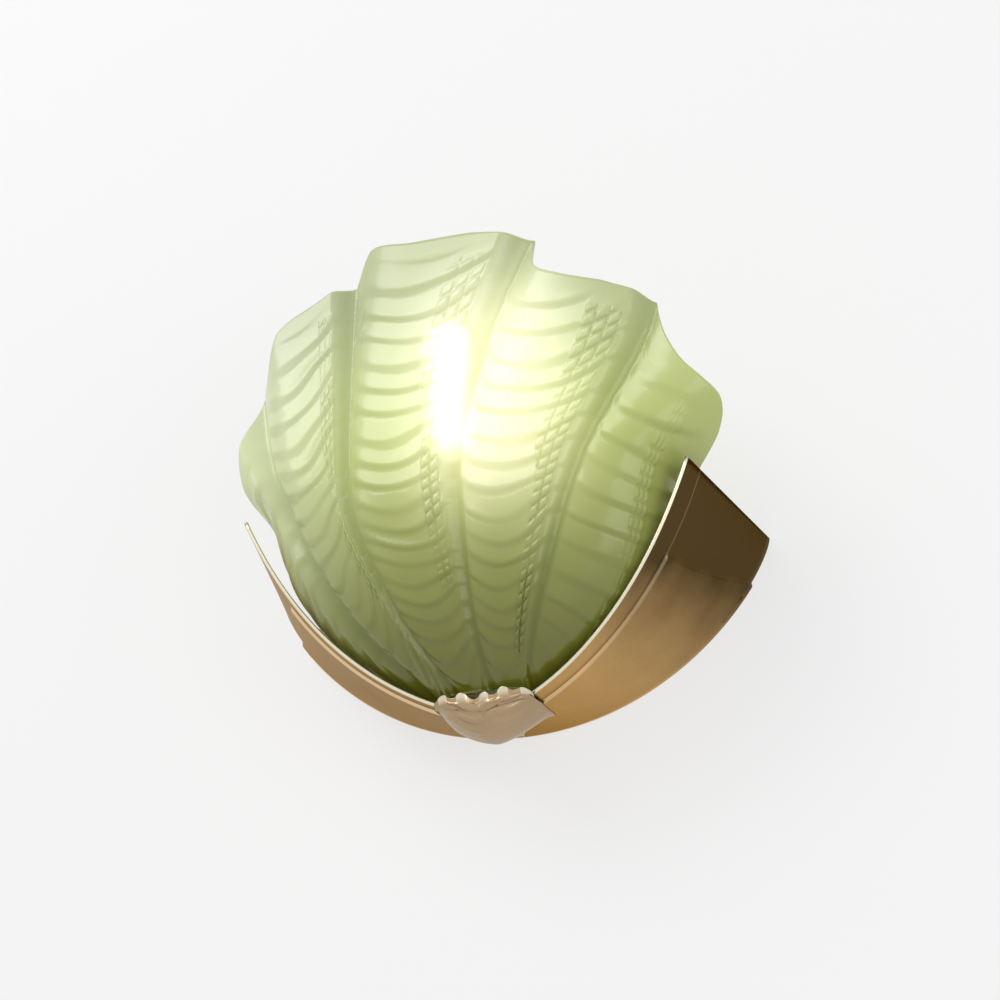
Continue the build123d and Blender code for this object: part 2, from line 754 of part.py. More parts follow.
def lamp_bracket():
    reach = LAMP_REACH + BRACKET_NOSE
    leg_foot = BRACKET_Z + BRACKET - BRACKET_LEG
    outline = Polyline(
        (PLATE, leg_foot),
        (PLATE + BRACKET, leg_foot),
        (PLATE + BRACKET, BRACKET_Z),
        (reach, BRACKET_Z),
        (reach, BRACKET_Z + BRACKET),
        (PLATE, BRACKET_Z + BRACKET),
        close=True,
    )
    side = Plane(origin=(0, 0, 0), x_dir=(0, -1, 0), z_dir=(-1, 0, 0))
    strip_solid = extrude(side * make_face(outline), BRACKET_WIDTH / 2, both=True)
    inner_bend = strip_solid.edges().filter_by(Axis.X).sort_by(
        lambda e: (e.center() - at(0, PLATE + BRACKET, BRACKET_Z)).length)[0]
    strip_solid = fillet([inner_bend], BRACKET / 2)
    corners = [
        e for e in strip_solid.edges().filter_by(Axis.Z)
        if abs(e.center().Y + reach) < 0.01
    ]
    strip_solid = fillet(corners, BRACKET_WIDTH / 2 - 0.5)
    strip_solid -= disc((NIPPLE + NIPPLE_CLEAR) / 2, 10, 0, LAMP_REACH, BRACKET_Z - 4)
    for z in bracket_screw_heights():
        strip_solid -= bolt_along_y((M4 + M4_CLEAR) / 2, 10, 0, 0, z)
    return strip_solid


def bracket_screws():
    return Compound([plate_screw(0, z, PLATE + BRACKET) for z in bracket_screw_heights()])


# ---------------------------------------------------------------- lampholder
HOLDER_Z = BRACKET_Z + BRACKET
SKIRT_Z = HOLDER_Z + HOLDER_BASE_HEIGHT
CORE_Z = SKIRT_Z - 4.0
SHELL_Z = CORE_Z + CORE_HEIGHT
SHELL_RADIUS = CAP_DIAMETER / 2 + CAP_CLEAR
CAP_Z = SHELL_Z + CONTACT_SPRING + TIP_HEIGHT + SEAT_GAP
GLASS_Z = CAP_Z + CAP_LENGTH


def nipple():
    foot = BRACKET_Z - NIPPLE_NUT_HEIGHT - 1.5
    tube = disc(NIPPLE / 2, NIPPLE_LENGTH, 0, LAMP_REACH, foot)
    return tube - disc(NIPPLE_BORE / 2, NIPPLE_LENGTH + 2, 0, LAMP_REACH, foot - 1)


def nipple_nut():
    z = BRACKET_Z - NIPPLE_NUT_HEIGHT
    return hex_nut(NIPPLE_NUT_FLATS, NIPPLE_NUT_HEIGHT, NIPPLE + 0.1, 0, LAMP_REACH, z)


def lampholder_base():
    """Cup that screws on the nipple; two wire ways at the back."""
    radius = HOLDER_DIAMETER / 2
    floor = 8.0
    inside = radius - HOLDER_WALL
    bore = NIPPLE / 2 + 0.05
    profile = ((bore, HOLDER_Z), (radius - 2, HOLDER_Z), (radius, HOLDER_Z + 2), (radius, SKIRT_Z))
    profile += ((inside, SKIRT_Z), (inside, HOLDER_Z + floor), (bore, HOLDER_Z + floor))
    base = upright(profile, 0, LAMP_REACH)
    for side in (-1, 1):
        base -= bolt_along_y(WIRE / 2 + 0.2, radius, side * WIRE_X, LAMP_REACH - radius - 2, WIRE_Z)
    return base


def lampholder_skirt():
    radius = HOLDER_DIAMETER / 2
    top = SKIRT_Z + HOLDER_SKIRT_HEIGHT
    profile = ((radius - HOLDER_WALL, SKIRT_Z), (radius, SKIRT_Z), (radius, top - 3), (radius - 1, top - 2))
    profile += ((radius - 1, top), (radius - HOLDER_WALL - 1, top), (radius - HOLDER_WALL, top - 3))
    return upright(profile, 0, LAMP_REACH)


def lampholder_core():
    """Ceramic disc that carries the contacts."""
    radius = HOLDER_DIAMETER / 2 - HOLDER_WALL - 0.1
    core = disc(radius, CORE_HEIGHT, 0, LAMP_REACH, CORE_Z)
    return core - disc(TIP_RADIUS + 1.6, 3, 0, LAMP_REACH, SHELL_Z - 2)


def screw_shell():
    """Threaded brass shell that takes the lamp's cap."""
    ring = disc(SHELL_RADIUS + SHELL_WALL, SHELL_HEIGHT, 0, LAMP_REACH, SHELL_Z)
    return ring - disc(SHELL_RADIUS, SHELL_HEIGHT + 2, 0, LAMP_REACH, SHELL_Z - 1)


def centre_contact():
    """Spring tongue under the lamp's tip."""
    foot = disc(TIP_RADIUS, 2, 0, LAMP_REACH, SHELL_Z - 2)
    return foot + disc(TIP_RADIUS - 0.6, CONTACT_SPRING, 0, LAMP_REACH, SHELL_Z)


# ---------------------------------------------------------------- lamp
def bulb_radius(share):
    """Radius of the candle bulb, 0 at the neck and 1 at the tip."""
    stations = (0.0, 0.08, 0.2, 0.36, 0.5, 0.68, 0.84, 0.94, 1.0)
    values = (0.36, 0.42, 0.78, 0.985, 1.0, 0.86, 0.54, 0.27, 0.07)
    return BULB_DIAMETER / 2 * through(stations, values, share)


def bulb_glass():
    count = 12
    outer = [(bulb_radius(k / count), GLASS_Z + BULB_LENGTH * k / count) for k in range(count + 1)]
    inner = []
    for r, z in outer:
        share = (z - GLASS_Z) / BULB_LENGTH
        inner.append((max(r - BULB_GLASS, 0.3), z - BULB_GLASS * smooth_step(share * 2 - 1)))
    top = GLASS_Z + BULB_LENGTH
    path_out = Spline(*[(r, 0, z) for r, z in outer])
    path_in = Spline(*[(r, 0, z) for r, z in inner])
    edges = [
        path_out,
        Line((outer[-1][0], 0, outer[-1][1]), (0, 0, top)),
        Line((0, 0, top), (0, 0, inner[-1][1])),
        Line((0, 0, inner[-1][1]), (inner[-1][0], 0, inner[-1][1])),
        path_in,
        Line((inner[0][0], 0, GLASS_Z), (outer[0][0], 0, GLASS_Z)),
    ]
    turned = revolve(Face(Wire(edges)), axis=Axis.Z)
    return Pos(0, -LAMP_REACH, 0) * turned


def bulb_cap():
    radius = CAP_DIAMETER / 2
    profile = ((radius - CAP_WALL, CAP_Z), (radius, CAP_Z), (radius, GLASS_Z), (radius - CAP_WALL, GLASS_Z))
    skirt = upright(profile, 0, LAMP_REACH)
    insulator = disc(radius - CAP_WALL, 2.0, 0, LAMP_REACH, CAP_Z)
    insulator -= disc(TIP_RADIUS, 4, 0, LAMP_REACH, CAP_Z - 1)
    return skirt + insulator


def bulb_tip():
    return disc(TIP_RADIUS, TIP_HEIGHT + 2, 0, LAMP_REACH, CAP_Z - TIP_HEIGHT)


def bulb_stem():
    foot = CAP_Z + 2.0
    stem = disc(STEM_RADIUS, GLASS_Z - foot + STEM_HEIGHT, 0, LAMP_REACH, foot)
    return stem


def bulb_filament():
    """Two upright strands that stand on the stem."""
    strands = []
    foot = GLASS_Z + STEM_HEIGHT
    for side in (-1, 1):
        path = Polyline(
            (side * (STEM_RADIUS - FILAMENT), -LAMP_REACH, foot),
            (side * FILAMENT_SPREAD / 2, -LAMP_REACH, foot + 6),
            (side * FILAMENT_SPREAD / 2, -LAMP_REACH, foot + FILAMENT_HEIGHT),
        )
        start = Plane(path @ 0)
        strands.append(sweep(start * Circle(FILAMENT / 2), path=path, transition=Transition.RIGHT))
    bridge = Pos(0, -LAMP_REACH, foot + FILAMENT_HEIGHT) * Box(FILAMENT_SPREAD + FILAMENT, FILAMENT, FILAMENT)
    return strands[0] + strands[1] + bridge


# ---------------------------------------------------------------- wiring
WIRE_X = 6.0
WIRE_Z = HOLDER_Z + 4.6
BLOCK_TERMINAL_Z = BLOCK_Z + BLOCK_HEIGHT / 2


def block_way_x(way):
    return (way - (BLOCK_WAYS - 1) / 2) * BLOCK_WAY


def terminal_block():
    width = BLOCK_WAYS * BLOCK_WAY
    block = Pos(0, -(PLATE + BLOCK_DEPTH / 2), BLOCK_TERMINAL_Z) * Box(width, BLOCK_DEPTH, BLOCK_HEIGHT)
    for way in range(1, BLOCK_WAYS):
        x = (block_way_x(way - 1) + block_way_x(way)) / 2
        block -= Pos(x, -(PLATE + BLOCK_DEPTH), BLOCK_TERMINAL_Z) * Box(1.6, 6, BLOCK_HEIGHT + 2)
    for way in range(BLOCK_WAYS):
        x = block_way_x(way)
        block -= Pos(x, -(PLATE + 6), BLOCK_TERMINAL_Z) * Cylinder(BLOCK_BORE / 2, BLOCK_HEIGHT + 2)
        block -= bolt_along_y(BLOCK_SCREW / 2 + 0.1, 10, x, PLATE + 8, BLOCK_TERMINAL_Z)
    return block


def terminal_screws():
    screws = []
    for way in range(BLOCK_WAYS):
        x = block_way_x(way)
        body = bolt_along_y(BLOCK_SCREW / 2, BLOCK_DEPTH - 8 - 1, x, PLATE + 8, BLOCK_TERMINAL_Z)
        slot = Pos(x, -(PLATE + BLOCK_DEPTH - 1), BLOCK_TERMINAL_Z) * Box(4, 1.2, 0.6)
        screws.append(body - slot)
    return Compound(screws)


def round_wire(points, bend):
    path = FilletPolyline(*points, radius=bend)
    start = Plane(path @ 0, z_dir=path % 0)
    return sweep(start * Circle(WIRE / 2), path=path)


def lamp_wire(way, side):
    """Wire from a terminal, down over the bracket and into the lampholder."""
    x = block_way_x(way)
    radius = HOLDER_DIAMETER / 2
    points = [
        at(x, PLATE + 6, BLOCK_Z + 3),
        at(x, PLATE + 6, WIRE_Z),
        at(side * WIRE_X, PLATE + 20, WIRE_Z),
        at(side * WIRE_X, LAMP_REACH - radius + 1.5, WIRE_Z),
    ]
    return round_wire(points, 1.6)


def earth_wire():
    points = [
        at(0, PLATE + 6, BLOCK_Z + BLOCK_HEIGHT - 3),
        at(0, PLATE + 6, BLOCK_Z + BLOCK_HEIGHT + 8),
        at(EARTH_X, PLATE + 6, BLOCK_Z + BLOCK_HEIGHT + 4),
        at(EARTH_X, PLATE + 0.95 + WIRE / 2, EARTH_Z + 8),
        at(EARTH_X, PLATE + 0.95 + WIRE / 2, EARTH_Z + M4_HEAD / 2 + 1.2),
    ]
    return round_wire(points, 1.4)


def earth_screw():
    screw = plate_screw(EARTH_X, EARTH_Z, PLATE + 1.0)
    tag = bolt_along_y(M4_HEAD / 2 + 1.0, 0.9, EARTH_X, PLATE, EARTH_Z)
    tag += Pos(EARTH_X, -(PLATE + 0.45), EARTH_Z + 6) * Box(4, 0.9, 8)
    tag -= bolt_along_y(M4 / 2 + 0.05, 4, EARTH_X, PLATE - 1, EARTH_Z)
    return screw, tag


def shade_pads():
    """Felt pads between the gallery and the glass floor."""
    pads = []
    outside = trough_filler(WING_SHEET + CONTACT, -TROUGH_LEVEL)
    top = GLASS_FLOOR_Z - SEAT_GAP
    block = Pos(PAD_X, -PAD_REACH, top - 5) * Box(PAD_WIDTH, PAD_DEPTH, 10)
    pad = max((block - outside).solids(), key=lambda solid: solid.center().Z)
    return Compound([pad, mirrored(pad)])


# ---------------------------------------------------------------- all parts
def build():
    wing = right_wing()
    screw, tag = earth_screw()
    pieces = {
        "shade": shade(),
        "wing_right": wing,
        "wing_left": mirrored(wing),
        "motif": motif(),
        "motif_screws": motif_screws(),
        "motif_nuts": motif_nuts(),
        "back_plate": back_plate(),
        "wing_screws": wing_screws(),
        "cable_grommet": grommet(),
        "lamp_bracket": lamp_bracket(),
        "bracket_screws": bracket_screws(),
        "nipple": nipple(),
        "nipple_nut": nipple_nut(),
        "lampholder_base": lampholder_base(),
        "lampholder_skirt": lampholder_skirt(),
        "lampholder_core": lampholder_core(),
        "lampholder_screw_shell": screw_shell(),
        "lampholder_contact": centre_contact(),
        "bulb_glass": bulb_glass(),
        "bulb_cap": bulb_cap(),
        "bulb_tip": bulb_tip(),
        "bulb_stem": bulb_stem(),
        "bulb_filament": bulb_filament(),
        "terminal_block": terminal_block(),
        "terminal_screws": terminal_screws(),
        "wire_live": lamp_wire(0, -1),
        "wire_neutral": lamp_wire(2, 1),
        "wire_earth": earth_wire(),
        "earth_screw": screw,
        "earth_tag": tag,
        "shade_pads": shade_pads(),
    }
    for name, shape in pieces.items():
        save(name, shape)


os.makedirs("parts", exist_ok=True)
build()
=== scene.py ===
"""Shell wall sconce: the looks of the glass shade, its brass gallery, the clasp and the lamp."""

import json
import math
from functools import partial

import bpy
import numpy as np
from bpy.props import FloatProperty, FloatVectorProperty, PointerProperty
from mathutils import Matrix, Vector


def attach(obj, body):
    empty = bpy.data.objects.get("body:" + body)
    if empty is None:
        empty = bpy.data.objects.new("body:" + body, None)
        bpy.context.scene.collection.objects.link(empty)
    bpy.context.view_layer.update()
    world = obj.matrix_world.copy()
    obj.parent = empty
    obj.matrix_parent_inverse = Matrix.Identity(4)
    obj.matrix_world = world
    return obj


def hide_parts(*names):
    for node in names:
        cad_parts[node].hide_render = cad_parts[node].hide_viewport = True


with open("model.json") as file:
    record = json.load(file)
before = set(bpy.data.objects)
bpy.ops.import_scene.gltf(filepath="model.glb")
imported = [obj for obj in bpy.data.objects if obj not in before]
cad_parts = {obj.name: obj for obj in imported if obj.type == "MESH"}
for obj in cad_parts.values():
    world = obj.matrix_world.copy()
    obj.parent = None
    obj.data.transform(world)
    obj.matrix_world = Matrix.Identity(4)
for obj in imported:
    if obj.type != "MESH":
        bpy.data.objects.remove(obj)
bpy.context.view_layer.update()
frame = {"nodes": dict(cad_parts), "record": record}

bl_info = {
    "name": "Shell wall sconce",
    "version": (1, 0, 0),
    "blender": (4, 5, 0),
    "location": "3D View > Sidebar > Sconce",
    "description": "Builds the dressed pieces of a shell wall sconce on its fixed frame",
    "category": "Object",
}

MM = 0.001
ORIGIN_HEIGHT = 120.0  # mm from the foot of the gallery up to the origin

# Gallery, in mm: each wing is ruled between a curve on the wall and its front edge.
WING_WALL = ((0.2, 0, 0.0), (84.0, 0, 0.0), (129.9, 0, 69.9), (132.0, 0, 86.7))
WING_FRONT = ((0.2, 55.2, -6.2), (4.6, 56.5, -6.2), (73.5, 81.5, -1.6), (114.6, 92.2, 97.6))
WING_SHEET = 1.2
PANEL_BAND = 13.0
PANEL_TOP = 0.83
PANEL_RAISE = 1.5
PANEL_SLANT = 0.10  # the panel's top edge falls towards the wall
PLATE = 2.0
TAB_STATIONS = (0.36, 0.62)
LIP = 1.0  # radius of the rolled front edge

# Clasp, in mm: its middle section from the front edge of the wings, out and up.
MOTIF_PROFILE = (
    (15.5, 6.0), (15.0, 2.0), (12.5, -2.6), (8.5, -6.6),
    (1.5, -10.0), (-9.0, -11.0), (-19.0, -8.0), (-26.0, -3.0),
)

# Glass, in mm: a squared oval at each height, cut into lobes by its valleys.
GLASS_WALL = 4.5
FLOOR_Z = 2.5
FLOOR_THICK = 5.0
BACK_REACH, BACK_LEAN = 22.0, 0.25
SQUARENESS = 4.0
HEIGHTS = (-6.0, 5.0, 20.0, 40.0, 65.0, 95.0, 115.0, 140.0, 235.0)
HALF_WIDTHS = (15.0, 32.6, 59.0, 82.0, 97.8, 106.8, 128.5, 142.0, 142.0)
REACHES = (58.0, 74.0, 88.0, 99.0, 107.0, 113.0, 114.5, 115.0, 114.0)
VALLEY_HEIGHTS = (0.0, 40.0, 100.0, 170.0, 235.0)
VALLEYS_X = (
    (-24.0, -59.0, -91.0, -105.0, -118.0),
    (-11.0, -33.0, -52.0, -51.0, -49.0),
    (7.0, 6.0, 6.0, 22.0, 51.0),
    (24.0, 42.0, 67.0, 105.0, 118.0),
)
RIM = (
    (62.0, 78.0, 105.0, 161.0),
    (155.0, 192.0, 202.0, 213.0),
    (233.0, 228.0, 227.0, 222.0),
    (211.0, 197.0, 188.0, 178.0),
    (172.0, 136.0, 119.0, 81.0),
)
RIM_STEP = 0.10  # share of a lobe over which its rim leaves its neighbour's
LOBE_FOOT, LOBE_RIM, LOBE_GROWTH = 1.6, 11.0, 1.4
SHOULDER, SHOULDER_HEIGHT, FOLD = 0.34, 0.80, 0.84
LAMP_X, LAMP_Z, LAMP_HALF = 0.002, 0.025, 0.024  # lit part of the glass, in metres
LOBE_TOP = (140.0, 205.0, 232.0, 205.0, 175.0)  # height at which the swags of a lobe start
LOBE_TILT = (30.0, 22.0, 0.0, 0.0, -10.0)  # how far its swags fall to the right
LEFT_FLARE, RIGHT_FLARE = 8.0, 7.0  # mm by which the outer lobes lean out over the wings
FLARE_START, FLARE_RUN = 108.0, 30.0  # mm over the foot, clear of the wings' tips
HALO_SHIFT = 0.020  # the glow reaches further to the right
# squares on each lobe: where their band ends, their share of the pitch, how clear they are
SQUARES = (
    (0.86, 0.8, 0.0), (0.88, 0.62, 0.55), (0.835, 1.0, 1.0), (0.835, 1.0, 1.0), (0.46, 0.40, 0.55),
)
SQUARE_COLUMNS = 3
SQUARE_ROWS = 2.0  # rows of squares to each swag
RIPPLE_RUN = 232.0  # mm from the rim over which the swags close up
RIPPLE_STEP = 0.72  # share of a swag that rises before the step under it
INNER_SHOULDER, INNER_FOLD = 0.45, 0.62
RIM_ROUND, RIM_CROWN, RIM_SIDE = 0.6, 1.2, 0.75  # mm
OUTER_ROWS, INNER_ROWS = 225, 56
# painted shade: how dark the steps under the swags, the grooves round the squares and the folds are painted
LINE_SHADE, SQUARE_SHADE, VALLEY_SHADE = 0.22, 0.75, 0.8  # how dark the grooves are
NEAR = 0.004  # share to either side from which a direction is taken

CAMERA_ROLL = -1.3  # degrees
CAMERA_LENS, CAMERA_DISTANCE = 89.9, 1.248  # mm, m
CAMERA_SHIFT = (0.02063, -0.01888)
CAMERA_BACK = (0.2954, -0.8768, -0.3795)  # from the target to the camera
CAMERA_TARGET = (0, -0.0624, -0.0056)
BACKDROP = 0.91  # brightness of the room where the camera or a reflection sees it


# ------------------------------------------------------------------ shapes
def smooth(t):
    t = np.clip(t, 0.0, 1.0)
    return t * t * (3 - 2 * t)


def through(stations, values, x):
    """Smooth curve through the stations that never overshoots its values."""
    s, v = np.asarray(stations, float), np.asarray(values, float)
    h = np.diff(s)
    rise = np.diff(v) / h
    slope = np.zeros(len(s))
    slope[0], slope[-1] = rise[0], rise[-1]
    for i in range(1, len(s) - 1):
        if rise[i - 1] * rise[i] > 0:
            a, b = 2 * h[i] + h[i - 1], h[i] + 2 * h[i - 1]
            slope[i] = (a + b) / (a / rise[i - 1] + b / rise[i])
    x = np.clip(x, s[0], s[-1])
    i = np.clip(np.searchsorted(s, x) - 1, 0, len(s) - 2)
    t = (x - s[i]) / h[i]
    return (
        (1 + 2 * t) * (1 - t) ** 2 * v[i]
        + t * (1 - t) ** 2 * h[i] * slope[i]
        + t * t * (3 - 2 * t) * v[i + 1]
        + t * t * (t - 1) * h[i] * slope[i + 1]
    )


def bezier(controls, t):
    c = np.asarray(controls, float)
    t = np.asarray(t, float)[..., None]
    return (
        (1 - t) ** 3 * c[0]
        + 3 * t * (1 - t) ** 2 * c[1]
        + 3 * t * t * (1 - t) * c[2]
        + t**3 * c[3]
    )


def unit(v):
    return v / np.maximum(np.linalg.norm(v, axis=-1, keepdims=True), 1e-12)


def grid_faces(rows, columns, start=0, flip=False):
    """Quads of a grid of points that are numbered row by row."""
    i, j = np.meshgrid(np.arange(rows - 1), np.arange(columns - 1), indexing="ij")
    a = start + i * columns + j
    quads = np.stack([a, a + 1, a + columns + 1, a + columns], -1).reshape(-1, 4)
    return quads[:, ::-1] if flip else quads


def piece(name, points, faces, material, body, replaces, uv=None):
    """A mesh piece from points in mm over the gallery's foot, placed in the frame."""
    co = np.asarray(points, float).reshape(-1, 3).copy()
    co[:, 2] -= ORIGIN_HEIGHT
    mesh = bpy.data.meshes.new(name)
    mesh.from_pydata((co * MM).tolist(), [], [list(map(int, f)) for f in faces])
    mesh.validate()
    if uv is not None:
        layer = mesh.uv_layers.new(name="surface")
        index = np.zeros(len(mesh.loops), int)
        mesh.loops.foreach_get("vertex_index", index)
        layer.data.foreach_set("uv", np.asarray(uv, np.float32)[index].ravel())
    mesh.polygons.foreach_set("use_smooth", [True] * len(mesh.polygons))
    mesh.materials.append(material)
    obj = bpy.data.objects.new(name, mesh)
    bpy.context.scene.collection.objects.link(obj)
    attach(obj, body)
    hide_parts(*replaces)
    return obj


def paint(obj, name, values):
    """A mask on the points of a piece, for its material."""
    layer = obj.data.attributes.new(name, "FLOAT", "POINT")
    layer.data.foreach_set("value", values.astype(np.float32).ravel())


def wing_place(t, share):
    """Points of the plain wing and its outward directions."""

    def rule(at):
        wall, front = bezier(WING_WALL, at), bezier(WING_FRONT, at)
        wall[..., 1] *= -1
        front[..., 1] *= -1
        return front + (wall - front) * share[..., None], wall - front

    step = 0.002
    point, along = rule(t)
    below, above = (rule(np.clip(t + shift, 0, 1))[0] for shift in (-step, step))
    return point, unit(np.cross(along, above - below)), along


def wing_mesh(side, bevel):
    """Closed sheet of one wing with its raised panel and rounded front lip."""
    t = np.concatenate([
        np.linspace(0, 0.70, 70),
        np.linspace(0.704, PANEL_TOP + 0.025, 56),
        np.linspace(PANEL_TOP + 0.03, 1, 12),
    ])
    crease = np.linspace(PANEL_BAND - 0.6, PANEL_BAND + bevel + 0.6, 14)
    mm = np.concatenate([[0.0, 0.3, 1.0, 4.0, 8.0], crease])
    tail = np.linspace(0.0, 1.0, 22)[1:]
    length = np.linalg.norm(wing_place(t, np.zeros_like(t))[2], axis=-1)
    reached = (mm[-1] / length)[:, None]
    shares = np.concatenate([mm[None, :] / length[:, None], reached + (1 - reached) * tail[None, :]], 1)
    tt = np.repeat(t[:, None], shares.shape[1], 1)
    base, normal, along = wing_place(tt, shares)
    across = smooth((shares * length[:, None] - PANEL_BAND) / bevel)
    top = PANEL_TOP - PANEL_SLANT * np.clip((shares - shares[:, 6:7]) / (1 - shares[:, 6:7]), 0, 1)
    raised = PANEL_RAISE * across * smooth((top - tt) / 0.016 + 0.5)
    flat = normal.copy()
    flat[..., 1] = 0
    at_wall = smooth((shares - 0.96) / 0.04)[..., None]
    normal = unit(normal * (1 - at_wall) + unit(flat) * at_wall)
    outer = base + normal * raised[..., None]
    inner = base + normal * (raised - WING_SHEET)[..., None]
    # the front lip is half round
    forward = -unit(along[:, 0])
    middle = base[:, 0] - normal[:, 0] * LIP - forward * LIP * 0.4
    lip = []
    for k in range(1, 12):
        angle = math.pi * k / 11
        lip.append(middle + LIP * (math.cos(angle) * normal[:, 0] + math.sin(angle) * forward))
    outer[:, 0] = middle + LIP * normal[:, 0]
    inner[:, 0] = middle - LIP * normal[:, 0]
    ring = np.concatenate([inner[:, ::-1], np.stack(lip[::-1], 1), outer], 1)
    rows, columns = ring.shape[:2]
    faces = grid_faces(rows, columns, flip=True).tolist()
    for r in range(rows - 1):  # the edge on the wall
        here, there = r * columns, (r + 1) * columns
        faces.append([here, there, there + columns - 1, here + columns - 1])
    half = inner.shape[1]
    # painted highlight: the rolled lip is painted pale as a painted reflection, the slope round the raised
    # panel gets a thin painted highlight, and the whole left wing is painted brighter
    painted_highlight = np.zeros((rows, columns))
    painted_highlight[:, half - 1:half + len(lip) + 1] = 1.0
    painted_highlight[:, half + len(lip):] += np.clip(across * (1 - across) * 4, 0, 1) * 0.14
    painted_highlight = np.maximum(painted_highlight, 0.30 if side < 0 else 0.0)  # the left wing is the brighter one
    for r, turn in ((0, 1), (rows - 1, -1)):  # the seam and the top edge
        for k in range(half - 1):
            a, b = k, k + 1
            c, d = columns - 2 - k, columns - 1 - k
            quad = [r * columns + i for i in (a, b, c, d)]
            faces.append(quad[::turn])
        fan = [r * columns + i for i in range(half - 1, columns - half + 1)]
        faces.append(fan[::turn])
    points = ring.reshape(-1, 3)
    for station in TAB_STATIONS:  # the soldered tabs that take the screws
        w = bezier(WING_WALL, station)
        n = wing_place(np.array([station]), np.array([1.0]))[1][0]
        n = unit(np.array([n[0], 0, n[2]]))
        side_way = np.array([-n[2], 0, n[0]])
        edge = np.array([w[0], 0, w[2]]) + n * (PANEL_RAISE - WING_SHEET / 2)
        corners = []
        for depth in (PLATE, PLATE + WING_SHEET):
            for a, c in ((0, -8.0), (-13.0, -8.0), (-13.0, 8.0), (0, 8.0)):
                corners.append(edge + n * a + side_way * c - [0, depth, 0])
        first = len(points)
        points = np.concatenate([points, corners])
        box = ((0, 1, 2, 3), (7, 6, 5, 4), (0, 4, 5, 1), (1, 5, 6, 2), (2, 6, 7, 3), (3, 7, 4, 0))
        faces += [[first + i for i in f] for f in box]
    if side < 0:
        points = points * [-1, 1, 1]
        faces = [f[::-1] for f in faces]
    return points, faces, np.concatenate([painted_highlight.ravel(), np.zeros(8 * len(TAB_STATIONS))])


def wing_under(x, reach):
    """Heights of the gallery's underside, and the reach and height of its front edge."""
    t = np.linspace(0, 1, 400)
    front = bezier(WING_FRONT, t)
    under = np.empty(np.shape(x))
    for i, (px, pr) in enumerate(zip(np.ravel(x), np.ravel(reach))):
        point = wing_place(t, np.clip(1 - pr / front[:, 1], 0, 1))[0]
        under.ravel()[i] = np.interp(abs(px), point[:, 0], point[:, 2])
    reach_of_edge, height_of_edge = (np.interp(np.abs(x), front[:, 0], front[:, k]) for k in (1, 2))
    return under, reach_of_edge, height_of_edge


def motif_mesh(settings):
    """The clasp: a small cast shell with a scalloped front wall and wavy ridges."""
    rows, columns = 110, 90
    across = np.linspace(-1, 1, rows)
    x = settings.motif_x + settings.motif_half_width * across
    swell = (1 - np.abs(across) ** 2.6) ** 0.7
    profile = np.array(MOTIF_PROFILE)
    stations = np.linspace(0, 1, len(profile))
    s = np.linspace(0, 1, columns)
    out, up = through(stations, profile[:, 0], s), through(stations, profile[:, 1], s)
    _, front, edge = wing_under(x, np.full(rows, 40.0))
    bump = np.cos(2 * np.pi * (x - settings.motif_x - 2.0) / settings.bump_pitch)
    bump = settings.bump_height * swell * (np.abs(bump) ** 0.7 * np.sign(bump))
    wall = smooth((0.16 - s) / 0.10)
    wave = 0.035 * np.sin(2 * np.pi * (x - settings.motif_x) / 21.0)[:, None]
    wave = wave * smooth((0.7 - s) / 0.3)[None, :]
    ss = s[None, :] + wave + 0.10 * across[:, None] ** 2
    ridge = np.sin(2 * np.pi * (ss - 0.13) / 0.17)
    ridge = settings.ridge_height * np.sign(ridge) * np.abs(ridge) ** 0.7
    ridge = ridge * smooth((ss - 0.13) / 0.05) * smooth((0.62 - ss) / 0.12)
    reach0 = front[:, None] + 1.0 + (30.0 - front[:, None] - 1.0) * s[None, :]
    under, _, _ = wing_under(np.repeat(x[:, None], columns, 1), reach0)
    z0 = np.where(reach0 > front[:, None], edge[:, None], under - PANEL_RAISE) - 0.6
    k = swell[:, None]
    relief = (ridge * 0.75 + bump[:, None] * wall * 0.5) * k
    reach = reach0 + k * (front[:, None] + out - reach0) + relief
    z = z0 + k * (edge[:, None] + up - z0) - ridge * 0.5 * k + bump[:, None] * wall
    outer = np.stack([np.repeat(x[:, None], columns, 1), -reach, z], -1)
    ledge_out = np.interp(s, (0, 0.15, 0.30, 1), (0.0, -2.2, -12.0, 0))
    inner = outer.copy()
    inner[..., 1] -= ledge_out * k * (s < 0.3)
    inner[..., 2] = np.where(s[None, :] < 0.12, z - 0.2, np.minimum(z0 + 0.5, z + 6.0))
    inner[..., 1] = np.where(s[None, :] < 0.12, -(reach - 2.2 * k), inner[..., 1])
    ring = np.concatenate([outer, inner[:, ::-1]], 1)
    count = ring.shape[1]
    faces = []
    for r in range(rows - 1):
        here, there = r * count, (r + 1) * count
        for c in range(count):
            d = (c + 1) % count
            faces.append([here + c, here + d, there + d, there + c])
    faces.append(list(range(count))[::-1])
    faces.append([(rows - 1) * count + c for c in range(count)])
    # painted highlight on the tops of the bumps
    bump_highlight = 0.75 * wall[None, :] * (0.5 + 0.5 * np.sign(bump)[:, None])  # the tops of the bumps
    bump_highlight = np.concatenate([bump_highlight, np.zeros((rows, columns))], 1)
    return ring.reshape(-1, 3), faces, bump_highlight.ravel()


def rim_height(lobe, place):
    """Height of the rim across a lobe; it starts from its neighbour's end."""
    before = RIM[lobe - 1][3] if lobe else RIM[0][0]
    own = np.interp(RIM_STEP, (0, 1 / 3), RIM[lobe][:2])
    return through((0.0, RIM_STEP, 1 / 3, 2 / 3, 1.0), (before, own) + RIM[lobe][1:], place)


